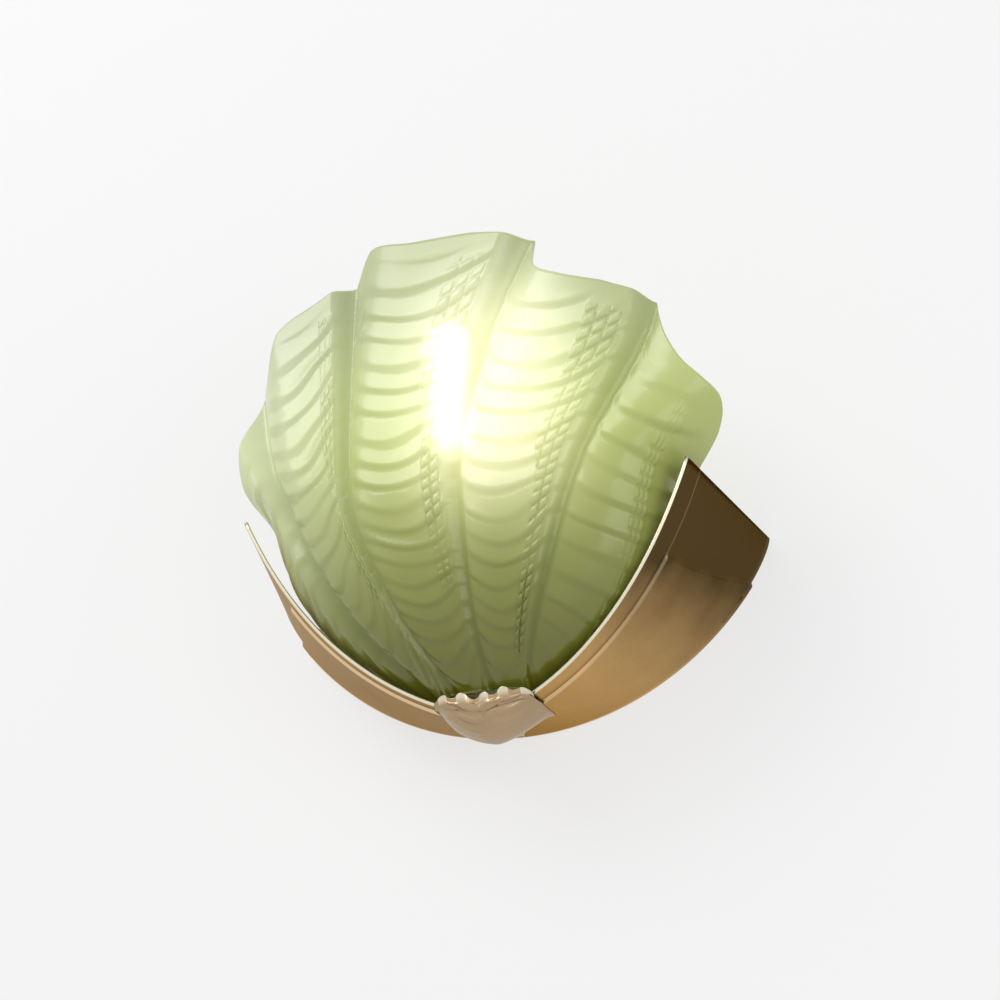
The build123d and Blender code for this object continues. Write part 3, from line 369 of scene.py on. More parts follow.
def glass_place(lobe, place, share):
    """Points of the plain glass; place runs 0 to 1 across a lobe, share from foot to rim."""
    top = rim_height(lobe, place)
    z = HEIGHTS[0] + (top - HEIGHTS[0]) * share
    width = through(HEIGHTS, HALF_WIDTHS, z)
    back = BACK_REACH + BACK_LEAN * z
    depth = through(HEIGHTS, REACHES, z) - back
    angle = np.linspace(0, math.pi / 2, 121)
    c, s = np.cos(angle), np.sin(angle)
    r = (c**SQUARENESS + s**SQUARENESS) ** (-1 / SQUARENESS)
    xs = width[..., None] * (r * s)
    ys = back[..., None] + depth[..., None] * (r * c)
    steps = np.hypot(np.diff(xs), np.diff(ys))
    run = np.concatenate([np.zeros(z.shape + (1,)), np.cumsum(steps, -1)], -1)
    flat_x, flat_y, flat_run = (a.reshape(-1, len(angle)) for a in (xs, ys, run))

    def run_at(x):
        x = np.broadcast_to(x, z.shape).ravel()
        out = np.array([np.interp(abs(v), fx, fr) for v, fx, fr in zip(x, flat_x, flat_run)])
        return (np.sign(x) * out).reshape(z.shape)

    whole = run[..., -1]
    left = -whole if lobe == 0 else run_at(through(VALLEY_HEIGHTS, VALLEYS_X[lobe - 1], z))
    right = whole if lobe == 4 else run_at(through(VALLEY_HEIGHTS, VALLEYS_X[lobe], z))
    length = (left + (right - left) * place).ravel()
    x = np.array([np.interp(abs(v), fr, fx) for v, fr, fx in zip(length, flat_run, flat_x)])
    y = np.array([np.interp(abs(v), fr, fy) for v, fr, fy in zip(length, flat_run, flat_y)])
    return np.stack([(np.sign(length) * x).reshape(z.shape), -y.reshape(z.shape), z], -1)


def lobe_height(lobe, place, shoulder, fold):
    """Share of a lobe's depth: up to its shoulder, on to its fold, and down to the next lobe."""
    rise = 1 - (1 - np.minimum(place / shoulder, 1)) ** 2.2
    height = SHOULDER_HEIGHT * rise + (1 - SHOULDER_HEIGHT) * np.minimum(place / fold, 1)
    fall = 1 - smooth((place - fold) / (1 - fold))
    if lobe == 0:
        level = SHOULDER_HEIGHT + (1 - SHOULDER_HEIGHT) * place / fold
        height = np.where(place < shoulder, level, height)
    return height if lobe == 4 else height * fall


def ripple_phase(down, settings):
    """Swags passed on the way down from the rim; they are closer towards the foot."""
    fall = (settings.ripple_rim - settings.ripple_foot) / RIPPLE_RUN
    d = np.clip(down, 0, RIPPLE_RUN)
    return np.log(settings.ripple_rim / (settings.ripple_rim - fall * d)) / fall


def glass_relief(lobe, place, down, z, share, settings):
    """Swags of the outside in mm, their phase, and the painted shade of the step under each."""
    belly = np.sin(np.pi * np.clip(place / 0.86, 0, 1)) ** 0.85
    sag = settings.ripple_sag * belly * (0.55 + 0.45 * share) - LOBE_TILT[lobe] * (place - 0.4)
    wander = 1.6 * np.sin(0.061 * z + 2.1 * lobe + 3.0 * place)
    wander = wander + 0.9 * np.sin(0.17 * z + 5.0 * place + lobe)
    phase = ripple_phase(np.maximum(LOBE_TOP[lobe] - z - sag + wander, 0), settings) + 0.37 * lobe
    turn = phase - np.floor(phase)
    rise = smooth(turn / RIPPLE_STEP * 0.5 + 0.08) * 1.15
    fall = smooth((1 - turn) / (1 - RIPPLE_STEP)) * 0.66
    wave = np.where(turn < RIPPLE_STEP, rise, fall)
    size = settings.ripple_depth * (0.62 + 0.38 * share)
    uneven = 0.72 + 0.28 * np.sin(1.9 * np.floor(phase) + 1.3 * lobe + 4.0 * place)
    edge = smooth((down - 5.0) / 12.0)
    fade = smooth((1.0 - place) / 0.16) * smooth(place / 0.07)
    strength = edge * (0.12 + 0.88 * fade) * uneven
    # painted shade along the step under each swag
    line = smooth((turn - 0.66) / 0.16) * smooth((1.0 - turn) / 0.14)
    return size * (wave - 0.4) * strength, phase, line * strength


def square_relief(lobe, place, down, phase, settings):
    """Bands of small raised squares left of each fold, and the painted shade in the grooves between them."""
    end, pitch, strength = SQUARES[lobe]
    column = (place - end) / (pitch * settings.square_pitch) + SQUARE_COLUMNS
    three = smooth((95.0 - down) / 20.0)
    in_band = smooth((column - (1 - three)) / 0.10) * smooth((SQUARE_COLUMNS - column) / 0.10)
    row = phase * SQUARE_ROWS
    u = np.abs(column - np.floor(column) - 0.5) * 2
    v = np.abs(row - np.floor(row) - 0.5) * 2
    tile = smooth((0.88 - u) / 0.24) * smooth((0.84 - v) / 0.28)
    group = 0.35 + 0.65 * smooth(np.sin(phase * 1.05 + 1.7 * lobe) * 2 + 1.2)
    reach = smooth((down - 11.0) / 3.0) * smooth((188.0 - down) / 30.0) * strength * group
    return settings.square_height * tile * in_band * reach, (1 - tile) * in_band * reach


def glass_face(lobe, place, share, inside, top, settings):
    """Points of one face of the glass, with the painted shade of its grooves and folds."""
    centre = glass_place(lobe, place, share)
    left, right = (glass_place(lobe, np.clip(place + d, 0, 1), share) for d in (-NEAR, NEAR))
    under, over = (glass_place(lobe, place, np.clip(share + d, 0, 1)) for d in (-NEAR, NEAR))
    normal = unit(np.cross(right - left, over - under))
    depth = LOBE_FOOT + (LOBE_RIM - LOBE_FOOT) * share**LOBE_GROWTH
    if inside:
        sink = GLASS_WALL + depth * (1 - lobe_height(lobe, place, INNER_SHOULDER, INNER_FOLD))
        groove_shade = np.zeros(share.shape)
    else:
        down = (1 - share) * top[None, :]
        ripple, phase, line = glass_relief(lobe, place, down, centre[..., 2], share, settings)
        squares, groove_shade = square_relief(lobe, place, down, phase, settings)
        ripple = ripple * (1 - 0.6 * np.minimum(squares + groove_shade, 1))
        sink = depth * (1 - lobe_height(lobe, place, SHOULDER, FOLD)) + 1.0 - ripple - squares
        # painted shade in the fold at the lobe's right edge
        valley = smooth((place - 0.86) / 0.10) * VALLEY_SHADE
        groove_shade = np.maximum(np.maximum(line * LINE_SHADE, groove_shade * SQUARE_SHADE), valley)
    point = centre - normal * sink[..., None]
    flare = smooth((point[..., 2] - FLARE_START) / FLARE_RUN)
    if lobe == 0:
        point[..., 0] -= LEFT_FLARE * flare * (1 - place)
    if lobe == 4:
        point[..., 0] += RIGHT_FLARE * flare * smooth(place / 0.4)
    return point, normal, groove_shade


def shade_mesh(settings):
    """Outer and inner face of the glass, the rim between them and the flat floor."""
    outer_columns, inner_columns, uv, groove_shades = [], [], [], []
    for lobe, (end, pitch, _) in enumerate(SQUARES):
        # columns stand closest where the squares are
        band = np.linspace(end - 3.1 * pitch * settings.square_pitch, end + 0.01, 32)
        before = np.linspace(0, band[0], max(int(band[0] * 38), 6))
        after = np.linspace(band[-1], 1, max(int((1 - band[-1]) * 46), 7))
        own = np.concatenate([before[:-1], band, after[1:]])[0 if lobe == 0 else 1:]
        top = rim_height(lobe, own)
        for inside, count in ((False, OUTER_ROWS), (True, INNER_ROWS)):
            foot = FLOOR_Z + (FLOOR_THICK if inside else 0)
            low = (foot - HEIGHTS[0]) / (top - HEIGHTS[0])
            for _ in range(7):  # the offset from the plain surface moves the foot up
                row = glass_face(lobe, own[None, :], low[None, :], inside, top, settings)[0]
                low = np.clip(low - 0.8 * (row[0, :, 2] - foot) / (top - HEIGHTS[0]), 0.0, 0.5)
            share = low[None, :] + (1 - low[None, :]) * np.linspace(0, 1, count)[:, None]
            place = np.repeat(own[None, :], count, 0)
            point, normal, groove_shade = glass_face(lobe, place, share, inside, top, settings)
            point[0, :, 2] = foot
            point[-1] += normal[-1] * (RIM_CROWN if inside else -RIM_CROWN) - [0, 0, RIM_ROUND]
            if inside:
                inner_columns.append(point)
            else:
                outer_columns.append(point)
                groove_shades.append(groove_shade)
                uv.append(np.stack([lobe + place, share], -1))
    outer = np.concatenate(outer_columns, 1)
    inner = np.concatenate(inner_columns, 1)
    columns = outer.shape[1]
    # rounded rim between the two faces
    middle = (outer[-1] + inner[-1]) / 2 + [0, 0, RIM_CROWN]
    lead = outer[-1] * 0.86 + inner[-1] * 0.14 + [0, 0, RIM_SIDE]
    trail = outer[-1] * 0.14 + inner[-1] * 0.86 + [0, 0, RIM_SIDE]
    rim = np.stack([lead, middle, trail])
    sheet = np.concatenate([outer, rim, inner[::-1]], 0)
    total, height = sheet.shape[0], outer.shape[0]
    uv = np.concatenate(uv, 1)
    uv = np.concatenate([uv, np.repeat(uv[-1:], total - height, 0)], 0)
    groove_shade = np.concatenate(groove_shades, 1)
    rest = np.zeros((total - height, columns))
    masks = {
        "groove_shade": np.concatenate([groove_shade, rest], 0),
        "front": np.concatenate([np.ones(groove_shade.shape), rest], 0),
    }
    faces = grid_faces(total, columns).tolist()
    last = (total - 1) * columns
    for edge, turn in ((0, 1), (columns - 1, -1)):  # the two upright back edges
        ring = [r * columns + edge for r in range(total)]
        front, behind = ring[:height], ring[height + len(rim):][::-1]
        steps = len(behind) - 1
        for k in range(height - 1):
            a, b = front[k], front[k + 1]
            c = behind[min(steps, round(steps * (k + 1) / (height - 1)))]
            d = behind[min(steps, round(steps * k / (height - 1)))]
            quad = [a, d, b] if c == d else [a, d, c, b]
            faces.append(quad[::turn])
        cap = [front[-1], behind[-1], ring[height + 2], ring[height + 1], ring[height]]
        faces.append(cap[::turn])
    # the floor's underside and upper side reach straight across at the back
    faces.append(list(range(columns)))
    faces.append(list(range(last, last + columns))[::-1])
    faces.append([0, columns - 1, last + columns - 1, last])
    return sheet.reshape(-1, 3), faces, uv.reshape(-1, 2), masks


# ------------------------------------------------------------------ shader groups
def new_group(name, inputs, outputs):
    group = bpy.data.node_groups.new(name, "ShaderNodeTree")
    for label, kind, value in inputs:
        socket = group.interface.new_socket(name=label, in_out="INPUT", socket_type=kind)
        socket.default_value = value
    for label, kind in outputs:
        group.interface.new_socket(name=label, in_out="OUTPUT", socket_type=kind)
    return group, group.nodes.new("NodeGroupInput"), group.nodes.new("NodeGroupOutput")


def math_node(tree, operation, a, b=None, c=None, clamp=False):
    """Output of a Math node whose inputs are numbers or sockets."""
    node = tree.nodes.new("ShaderNodeMath")
    node.operation = operation
    node.use_clamp = clamp
    for k, value in enumerate((a, b, c)):
        if value is None:
            continue
        if isinstance(value, (int, float)):
            node.inputs[k].default_value = value
        else:
            tree.links.new(value, node.inputs[k])
    return node.outputs[0]


def mix_colour(tree, factor, a, b, blend="MIX"):
    node = tree.nodes.new("ShaderNodeMix")
    node.data_type = "RGBA"
    node.blend_type = blend
    for key, value in ((0, factor), (6, a), (7, b)):
        if isinstance(value, (int, float)):
            node.inputs[key].default_value = value
        elif isinstance(value, (tuple, list)):
            node.inputs[key].default_value = (*value[:3], 1.0)
        else:
            tree.links.new(value, node.inputs[key])
    return node.outputs[2]


def noise(tree, vector, scale, detail=3.0, rough=0.5):
    node = tree.nodes.new("ShaderNodeTexNoise")
    node.inputs["Scale"].default_value = scale
    node.inputs["Detail"].default_value = detail
    node.inputs["Roughness"].default_value = rough
    tree.links.new(vector, node.inputs["Vector"])
    return node.outputs["Fac"]


def ramp(tree, factor, low, high):
    node = tree.nodes.new("ShaderNodeMapRange")
    node.interpolation_type = "SMOOTHSTEP"
    node.inputs["From Min"].default_value = low
    node.inputs["From Max"].default_value = high
    tree.links.new(factor, node.inputs["Value"])
    return node.outputs["Result"]


def metal_group():
    """Worn brass: two tones, cloudy tarnish, fine brush lines and small pits, with painted shade high up on
    the wings and a painted highlight where a mask asks for it.
    """
    group, source, sink = new_group(
        "worn brass with painted light",
        [
            ("Vector", "NodeSocketVector", (0, 0, 0)),
            ("Light tone", "NodeSocketColor", (0.6, 0.4, 0.2, 1)),
            ("Dark tone", "NodeSocketColor", (0.2, 0.13, 0.07, 1)),
            ("Tarnish", "NodeSocketFloat", 0.5),
            ("Roughness", "NodeSocketFloat", 0.3),
            ("Painted shade above", "NodeSocketFloat", 0.0),
            ("Painted_highlight", "NodeSocketFloat", 0.0),
        ],
        [("Color", "NodeSocketColor"), ("Roughness", "NodeSocketFloat"), ("Height", "NodeSocketFloat")],
    )
    calc, mix, given = partial(math_node, group), partial(mix_colour, group), source.outputs
    split = group.nodes.new("ShaderNodeSeparateXYZ")
    group.links.new(given["Vector"], split.inputs[0])
    # painted shade: the brass is painted darker high up, most on the right wing and least on the left, over
    # the cloudy tarnish
    side = calc("MULTIPLY_ADD", ramp(group, split.outputs["X"], -0.05, 0.03), 1.4, -0.4)
    high = calc("MULTIPLY", ramp(group, split.outputs["Z"], -0.124, -0.045), given["Painted shade above"])
    high = calc("MULTIPLY", high, side)
    cloud = noise(group, given["Vector"], 22.0, 4.0, 0.55)
    speck = noise(group, given["Vector"], 420.0, 2.0, 0.6)
    stretched = group.nodes.new("ShaderNodeMapping")
    stretched.inputs["Scale"].default_value = (1.0, 0.12, 1.0)
    group.links.new(given["Vector"], stretched.inputs["Vector"])
    brush = noise(group, stretched.outputs[0], 900.0, 2.0, 0.7)
    patchy = calc("MULTIPLY", calc("SUBTRACT", cloud, 0.5), 0.5)
    # the cloudy tarnish plus the painted shade from above
    mask = calc("ADD", patchy, calc("ADD", given["Tarnish"], high), clamp=True)
    colour = mix(mask, given["Light tone"], given["Dark tone"])
    fine = calc("ABSOLUTE", calc("MULTIPLY", calc("SUBTRACT", speck, 0.5), 0.25))
    colour = mix(fine, colour, (0.1, 0.07, 0.04), "MULTIPLY")
    # painted highlight: pale brass mixed in where the highlight mask is
    colour = mix(given["Painted_highlight"], colour, (0.80, 0.74, 0.57))
    group.links.new(colour, sink.inputs["Color"])
    uneven = calc("MULTIPLY", calc("SUBTRACT", cloud, 0.45), 0.22)
    rough = calc("ADD", given["Roughness"], uneven, clamp=True)
    group.links.new(rough, sink.inputs["Roughness"])
    height = calc("ADD", calc("MULTIPLY", brush, 0.6), calc("MULTIPLY", speck, 0.4))
    group.links.new(height, sink.inputs["Height"])
    return group


def surface_group():
    """Moulded plastic, rubber, ceramic and felt: cloud and grain over one colour."""
    group, source, sink = new_group(
        "moulded surface",
        [
            ("Vector", "NodeSocketVector", (0, 0, 0)),
            ("Tone", "NodeSocketColor", (0.8, 0.8, 0.8, 1)),
            ("Grain size", "NodeSocketFloat", 900.0),
            ("Dust", "NodeSocketFloat", 0.1),
            ("Roughness", "NodeSocketFloat", 0.5),
        ],
        [("Color", "NodeSocketColor"), ("Roughness", "NodeSocketFloat"), ("Height", "NodeSocketFloat")],
    )
    calc, given = partial(math_node, group), source.outputs
    cloud = noise(group, given["Vector"], 45.0, 4.0, 0.6)
    grain = group.nodes.new("ShaderNodeTexNoise")
    grain.inputs["Detail"].default_value = 2.0
    group.links.new(given["Vector"], grain.inputs["Vector"])
    group.links.new(given["Grain size"], grain.inputs["Scale"])
    dirt = calc("MULTIPLY", ramp(group, cloud, 0.45, 0.75), given["Dust"])
    colour = mix_colour(group, dirt, given["Tone"], (0.30, 0.27, 0.22))
    group.links.new(colour, sink.inputs["Color"])
    uneven = calc("MULTIPLY", calc("SUBTRACT", cloud, 0.5), 0.25)
    rough = calc("ADD", given["Roughness"], uneven, clamp=True)
    group.links.new(rough, sink.inputs["Roughness"])
    group.links.new(grain.outputs["Fac"], sink.inputs["Height"])
    return group


def glow_group():
    """Colours of the lit glass and its painted glow: pale round the lamp, green at the rim, olive at the
    foot.
    """
    group, source, sink = new_group(
        "lit glass",
        [
            ("Vector", "NodeSocketVector", (0, 0, 0)),
            ("Body", "NodeSocketColor", (0.4, 0.5, 0.2, 1)),
            ("Foot", "NodeSocketColor", (0.1, 0.1, 0.01, 1)),
            ("Glow", "NodeSocketColor", (1, 0.95, 0.7, 1)),
            ("Groove_shade", "NodeSocketFloat", 0.0),
            ("Front", "NodeSocketFloat", 1.0),
        ],
        [("Color", "NodeSocketColor"), ("Emission", "NodeSocketColor"), ("Height", "NodeSocketFloat")],
    )
    calc, mix, given = partial(math_node, group), partial(mix_colour, group), source.outputs
    split = group.nodes.new("ShaderNodeSeparateXYZ")
    group.links.new(given["Vector"], split.inputs[0])
    x, _, z = split.outputs
    cloud = noise(group, given["Vector"], 14.0, 3.0, 0.5)
    # nearness to the upright lamp behind the glass, in metres
    off = calc("ABSOLUTE", calc("SUBTRACT", z, LAMP_Z))
    dz = calc("MAXIMUM", calc("SUBTRACT", off, LAMP_HALF), 0.0)
    dx = calc("SUBTRACT", x, LAMP_X)
    ragged = calc("MULTIPLY", calc("SUBTRACT", cloud, 0.5), 0.012)

    def nearness(across, full, none):
        squares = calc("ADD", calc("POWER", across, 2.0), calc("POWER", dz, 2.0))
        away = calc("ADD", calc("SQRT", squares), ragged)
        return calc("SUBTRACT", 1.0, ramp(group, away, full, none))

    # painted glow: a wide halo and a bright core where the lamp stands behind the glass
    halo = nearness(calc("SUBTRACT", dx, HALO_SHIFT), 0.004, 0.074)
    core = calc("MULTIPLY", nearness(dx, 0.002, 0.0150), given["Front"])
    # colour: olive foot, a pale left side that is a painted reflection, and a greyer top that is painted
    # light coming through the rim
    low = ramp(group, z, -0.122, 0.025)
    body = mix(low, given["Foot"], given["Body"])
    # painted shade in the grooves, folds and under each swag darkens the colour
    body = mix(given["Groove_shade"], body, (0.70, 0.74, 0.46), "MULTIPLY")
    left = calc("SUBTRACT", 1.0, ramp(group, x, -0.11, -0.02))
    base = mix(calc("MULTIPLY", calc("MULTIPLY", left, low), 0.6), body, (0.62, 0.66, 0.50))
    base = mix(calc("MULTIPLY", ramp(group, z, -0.02, 0.09), 0.5), base, (0.44, 0.48, 0.36))
    group.links.new(base, sink.inputs["Color"])
    lit = mix(halo, base, given["Glow"])
    # the painted groove shade darkens the glow as well
    lit = mix(calc("MULTIPLY", given["Groove_shade"], 0.6), lit, (0.80, 0.80, 0.45), "MULTIPLY")
    strength = calc("ADD", calc("MULTIPLY", halo, 0.40), calc("MULTIPLY", core, 1.1))
    # painted glow in place of the lamp's light carried on in the glass: most round the lamp's middle, little
    # at the rim
    inner = calc("SUBTRACT", 1.0, ramp(group, x, 0.045, 0.085))
    middle = calc("MULTIPLY", inner, ramp(group, z, -0.05, 0.01))
    carried = calc("MULTIPLY_ADD", middle, 0.12, 0.20)
    carried = calc("SUBTRACT", carried, calc("MULTIPLY", ramp(group, z, 0.03, 0.09), 0.19))
    strength = calc("ADD", strength, calc("MAXIMUM", carried, 0.0))
    scale = group.nodes.new("ShaderNodeVectorMath")
    scale.operation = "SCALE"
    group.links.new(lit, scale.inputs[0])
    group.links.new(strength, scale.inputs["Scale"])
    group.links.new(scale.outputs[0], sink.inputs["Emission"])
    group.links.new(noise(group, given["Vector"], 700.0, 2.0, 0.6), sink.inputs["Height"])
    return group


def material(name, group, values, metallic=0.0, bump=0.1, bump_mm=0.05, plain=None):
    """A Principled surface whose colour, roughness and relief come from a group."""
    m = bpy.data.materials.new(name)
    m.use_nodes = True
    tree = m.node_tree
    shader = tree.nodes["Principled BSDF"]
    node = tree.nodes.new("ShaderNodeGroup")
    node.node_tree = group
    place = tree.nodes.new("ShaderNodeTexCoord")
    tree.links.new(place.outputs["Object"], node.inputs["Vector"])
    for key, value in values.items():
        is_colour = isinstance(value, (tuple, list)) and len(value) == 3
        node.inputs[key].default_value = (*value, 1.0) if is_colour else value
    tree.links.new(node.outputs["Color"], shader.inputs["Base Color"])
    # masks on the points: painted shade in the grooves, the outer face, and painted highlights
    for mask in ("Groove_shade", "Front", "Painted_highlight"):
        if mask in node.inputs:
            painted_light_mask = tree.nodes.new("ShaderNodeAttribute")
            painted_light_mask.attribute_name = mask.lower()
            tree.links.new(painted_light_mask.outputs["Fac"], node.inputs[mask])
    if "Roughness" in node.outputs:
        tree.links.new(node.outputs["Roughness"], shader.inputs["Roughness"])
    if "Emission" in node.outputs:
        tree.links.new(node.outputs["Emission"], shader.inputs["Emission Color"])
        shader.inputs["Emission Strength"].default_value = 1.0
    relief = tree.nodes.new("ShaderNodeBump")
    relief.inputs["Strength"].default_value = bump
    relief.inputs["Distance"].default_value = bump_mm * MM
    tree.links.new(node.outputs["Height"], relief.inputs["Height"])
    tree.links.new(relief.outputs["Normal"], shader.inputs["Normal"])
    shader.inputs["Metallic"].default_value = metallic
    for key, value in (plain or {}).items():
        shader.inputs[key].default_value = value
    return m


def seen_directly(tree):
    """1 where the camera, a reflection or a refraction looks, 0 for the light on the object."""
    path = tree.nodes.new("ShaderNodeLightPath")
    glossy, through_glass = path.outputs["Is Glossy Ray"], path.outputs["Is Transmission Ray"]
    indirect = math_node(tree, "MAXIMUM", glossy, through_glass)
    return math_node(tree, "MAXIMUM", path.outputs["Is Camera Ray"], indirect)


# ------------------------------------------------------------------ settings
def number(name, description, default, low=None, high=None, subtype="NONE"):
    limits = {key: value for key, value in (("min", low), ("max", high)) if value is not None}
    return FloatProperty(name=name, description=description, default=default, subtype=subtype, **limits)


def tone(name, description, default):
    return FloatVectorProperty(
        name=name, description=description, subtype="COLOR", default=default, min=0, max=1
    )


class SconceShade(bpy.types.PropertyGroup):
    ripple_depth: number("Ripple depth", "Height of the swags in mm", 2.6, 0.0, 4.0)
    ripple_rim: number("Ripple spacing at the rim", "In mm", 16.5, 4.0, 30.0)
    ripple_foot: number("Ripple spacing at the foot", "In mm", 7.0, 2.0, 20.0)
    ripple_sag: number("Ripple sag", "How far a swag hangs down in mm", 13.0, 0.0, 30.0)
    square_pitch: number("Square pitch", "Width of a raised square as a share of its lobe", 0.082, 0.02, 0.15)
    square_height: number("Square height", "Relief of the small squares in mm", 1.0, 0.0, 2.0)
    body: tone("Glass colour", "Colour of the glass", (0.44, 0.50, 0.15))
    foot: tone("Foot colour", "Colour of the thick glass at the foot", (0.12, 0.125, 0.012))
    glow: tone("Glow", "Colour of the glass next to the lit lamp", (1.0, 0.95, 0.70))


class SconceGallery(bpy.types.PropertyGroup):
    bevel: number("Crease width", "Width of the slope round the raised panel in mm", 1.4, 0.5, 6.0)
    light: tone("Polished brass", "Colour of the bright brass", (0.74, 0.48, 0.22))
    # the dark tone colours the cloudy tarnish and the painted shade high on the wings
    dark: tone("Tarnish and painted shade", "Colour of the darkened brass", (0.105, 0.071, 0.034))
    roughness: number("Roughness", "Roughness of the satin brass", 0.32, 0, 1, "FACTOR")


class SconceClasp(bpy.types.PropertyGroup):
    motif_x: number("Middle", "Place of the clasp's middle in mm", 0.5)
    motif_half_width: number("Half width", "In mm", 25.5, 10.0, 40.0)
    bump_pitch: number("Bump pitch", "From bump to bump on the front wall in mm", 10.5, 4.0)
    bump_height: number("Bump height", "In mm", 1.3, 0.0, 3.0)
    ridge_height: number("Ridge height", "Height of the wavy ridges in mm", 0.6, 0.0, 2.0)


class SconceStage(bpy.types.PropertyGroup):
    wall: tone("Wall colour", "Colour of the wall behind the light", (0.30, 0.30, 0.30))
    wall_light: number("Wall light", "Brightness that the wall has of its own", 0.635, 0)
    key: number("Key light", "Power of the soft light at upper left", 11.5, 0, subtype="POWER")
    fill: number("Fill light", "Power of each soft light at the right and behind", 4.0, 0, subtype="POWER")
    world: number("Room light", "Strength of the even light of the room", 0.55, 0)


# ------------------------------------------------------------------ operators
class SCONCE_OT_stage(bpy.types.Operator):
    """Wall, lights, room light and the camera"""

    bl_idname = "sconce.stage"
    bl_label = "Stage"

    def execute(self, context):
        stage = context.scene.sconce_stage
        scene = context.scene
        scene.view_settings.view_transform = "Standard"
        wall = bpy.data.meshes.new("wall")
        half, y = 3.0, 0.0006
        corners = [(-half, y, -half), (half, y, -half), (half, y, half), (-half, y, half)]
        wall.from_pydata(corners, [], [(0, 1, 2, 3)])
        board = bpy.data.objects.new("wall", wall)
        scene.collection.objects.link(board)
        board.visible_shadow = False
        board.visible_diffuse = False
        m = bpy.data.materials.new("wall paint")
        m.use_nodes = True
        tree = m.node_tree
        shader = tree.nodes["Principled BSDF"]
        shader.inputs["Roughness"].default_value = 0.9
        shader.inputs["Specular IOR Level"].default_value = 0.1
        place = tree.nodes.new("ShaderNodeTexCoord")
        faint = math_node(tree, "MULTIPLY", noise(tree, place.outputs["Object"], 3.0), 0.03)
        colour = mix_colour(tree, faint, tuple(stage.wall), (0.27, 0.27, 0.28))
        tree.links.new(colour, shader.inputs["Base Color"])
        lift = tree.nodes.new("ShaderNodeEmission")
        light = math_node(tree, "MULTIPLY", seen_directly(tree), stage.wall_light)
        tree.links.new(light, lift.inputs["Strength"])
        add = tree.nodes.new("ShaderNodeAddShader")
        tree.links.new(shader.outputs[0], add.inputs[0])
        tree.links.new(lift.outputs[0], add.inputs[1])
        through_back = tree.nodes.new("ShaderNodeBsdfTransparent")
        sides = tree.nodes.new("ShaderNodeMixShader")
        geometry = tree.nodes.new("ShaderNodeNewGeometry")
        tree.links.new(geometry.outputs["Backfacing"], sides.inputs["Fac"])
        tree.links.new(add.outputs[0], sides.inputs[1])
        tree.links.new(through_back.outputs[0], sides.inputs[2])
        tree.links.new(sides.outputs[0], tree.nodes["Material Output"].inputs["Surface"])
        wall.materials.append(m)
        for name, power, size, spot in (
            ("key", stage.key, 1.0, (-0.75, -1.15, 0.95)),
            ("fill", stage.fill, 0.9, (1.0, -1.0, -0.1)),
            ("behind", stage.fill, 1.2, (0.3, 1.3, 0.5)),
        ):
            lamp = bpy.data.lights.new(name, "AREA")
            lamp.energy = power
            lamp.size = size
            holder = bpy.data.objects.new(name, lamp)
            holder.location = spot
            aim = Vector((0, -0.05, 0)) - Vector(spot)
            holder.rotation_euler = aim.to_track_quat("-Z", "Y").to_euler()
            scene.collection.objects.link(holder)
        world = bpy.data.worlds.new("room")
        scene.world = world
        world.use_nodes = True
        tree = world.node_tree
        plain = tree.nodes["Background"]
        plain.inputs["Color"].default_value = (1, 1, 1, 1)
        shown = math_node(tree, "MULTIPLY", seen_directly(tree), BACKDROP - stage.world)
        level = math_node(tree, "ADD", stage.world, shown)
        tree.links.new(level, plain.inputs["Strength"])
        self.camera(scene)
        return {"FINISHED"}

    def camera(self, scene):
        data = bpy.data.cameras.new("camera")
        data.sensor_width = 36.0
        data.lens = CAMERA_LENS
        data.shift_x, data.shift_y = CAMERA_SHIFT
        camera = bpy.data.objects.new("camera", data)
        scene.collection.objects.link(camera)
        back, target = Vector(CAMERA_BACK), Vector(CAMERA_TARGET)
        roll = Matrix.Rotation(math.radians(CAMERA_ROLL), 3, "Z")
        turn = (-back).to_track_quat("-Z", "Y").to_matrix() @ roll
        camera.matrix_world = Matrix.Translation(target + back * CAMERA_DISTANCE) @ turn.to_4x4()
        scene.camera = camera


class SCONCE_OT_shade(bpy.types.Operator):
    """The scalloped glass shade with its ripples and raised squares"""

    bl_idname = "sconce.shade"
    bl_label = "Glass shade"

    def execute(self, context):
        shade = context.scene.sconce_shade
        glass = material("pressed green glass", glow_group(),
                         {key.title(): tuple(getattr(shade, key)) for key in ("body", "foot", "glow")},
                         bump=0.25, bump_mm=0.04,
                         plain={"Roughness": 0.30, "IOR": 1.5, "Transmission Weight": 0.0,
                                "Coat Weight": 0.25, "Coat Roughness": 0.12})
        points, faces, uv, masks = shade_mesh(shade)
        pane = piece("shade_glass", points, faces, glass, "shade", ["shade"], uv)
        for name, mask in masks.items():
            paint(pane, name, mask)
        return {"FINISHED"}


class SCONCE_OT_gallery(bpy.types.Operator):
    """The two folded brass wings"""

    bl_idname = "sconce.gallery"
    bl_label = "Gallery wings"

    def execute(self, context):
        gallery = context.scene.sconce_gallery
        group = metal_group()
        # the wings are painted darker high up, a painted shade, and paler where the highlight mask is
        brass = material("satin gilt brass", group,
                         {"Light tone": tuple(gallery.light), "Dark tone": tuple(gallery.dark),
                          "Tarnish": 0.12, "Painted shade above": 1.0, "Roughness": gallery.roughness},
                         metallic=1.0, bump=0.15, bump_mm=0.03,
                         plain={"Specular Tint": (0.34, 0.27, 0.19, 1)})
        for side, name in ((1, "wing_right"), (-1, "wing_left")):
            points, faces, painted_highlight = wing_mesh(side, gallery.bevel)
            wing = piece(name + "_sheet", points, faces, brass, "fixture", [name])
            paint(wing, "painted_highlight", painted_highlight)
        return {"FINISHED"}


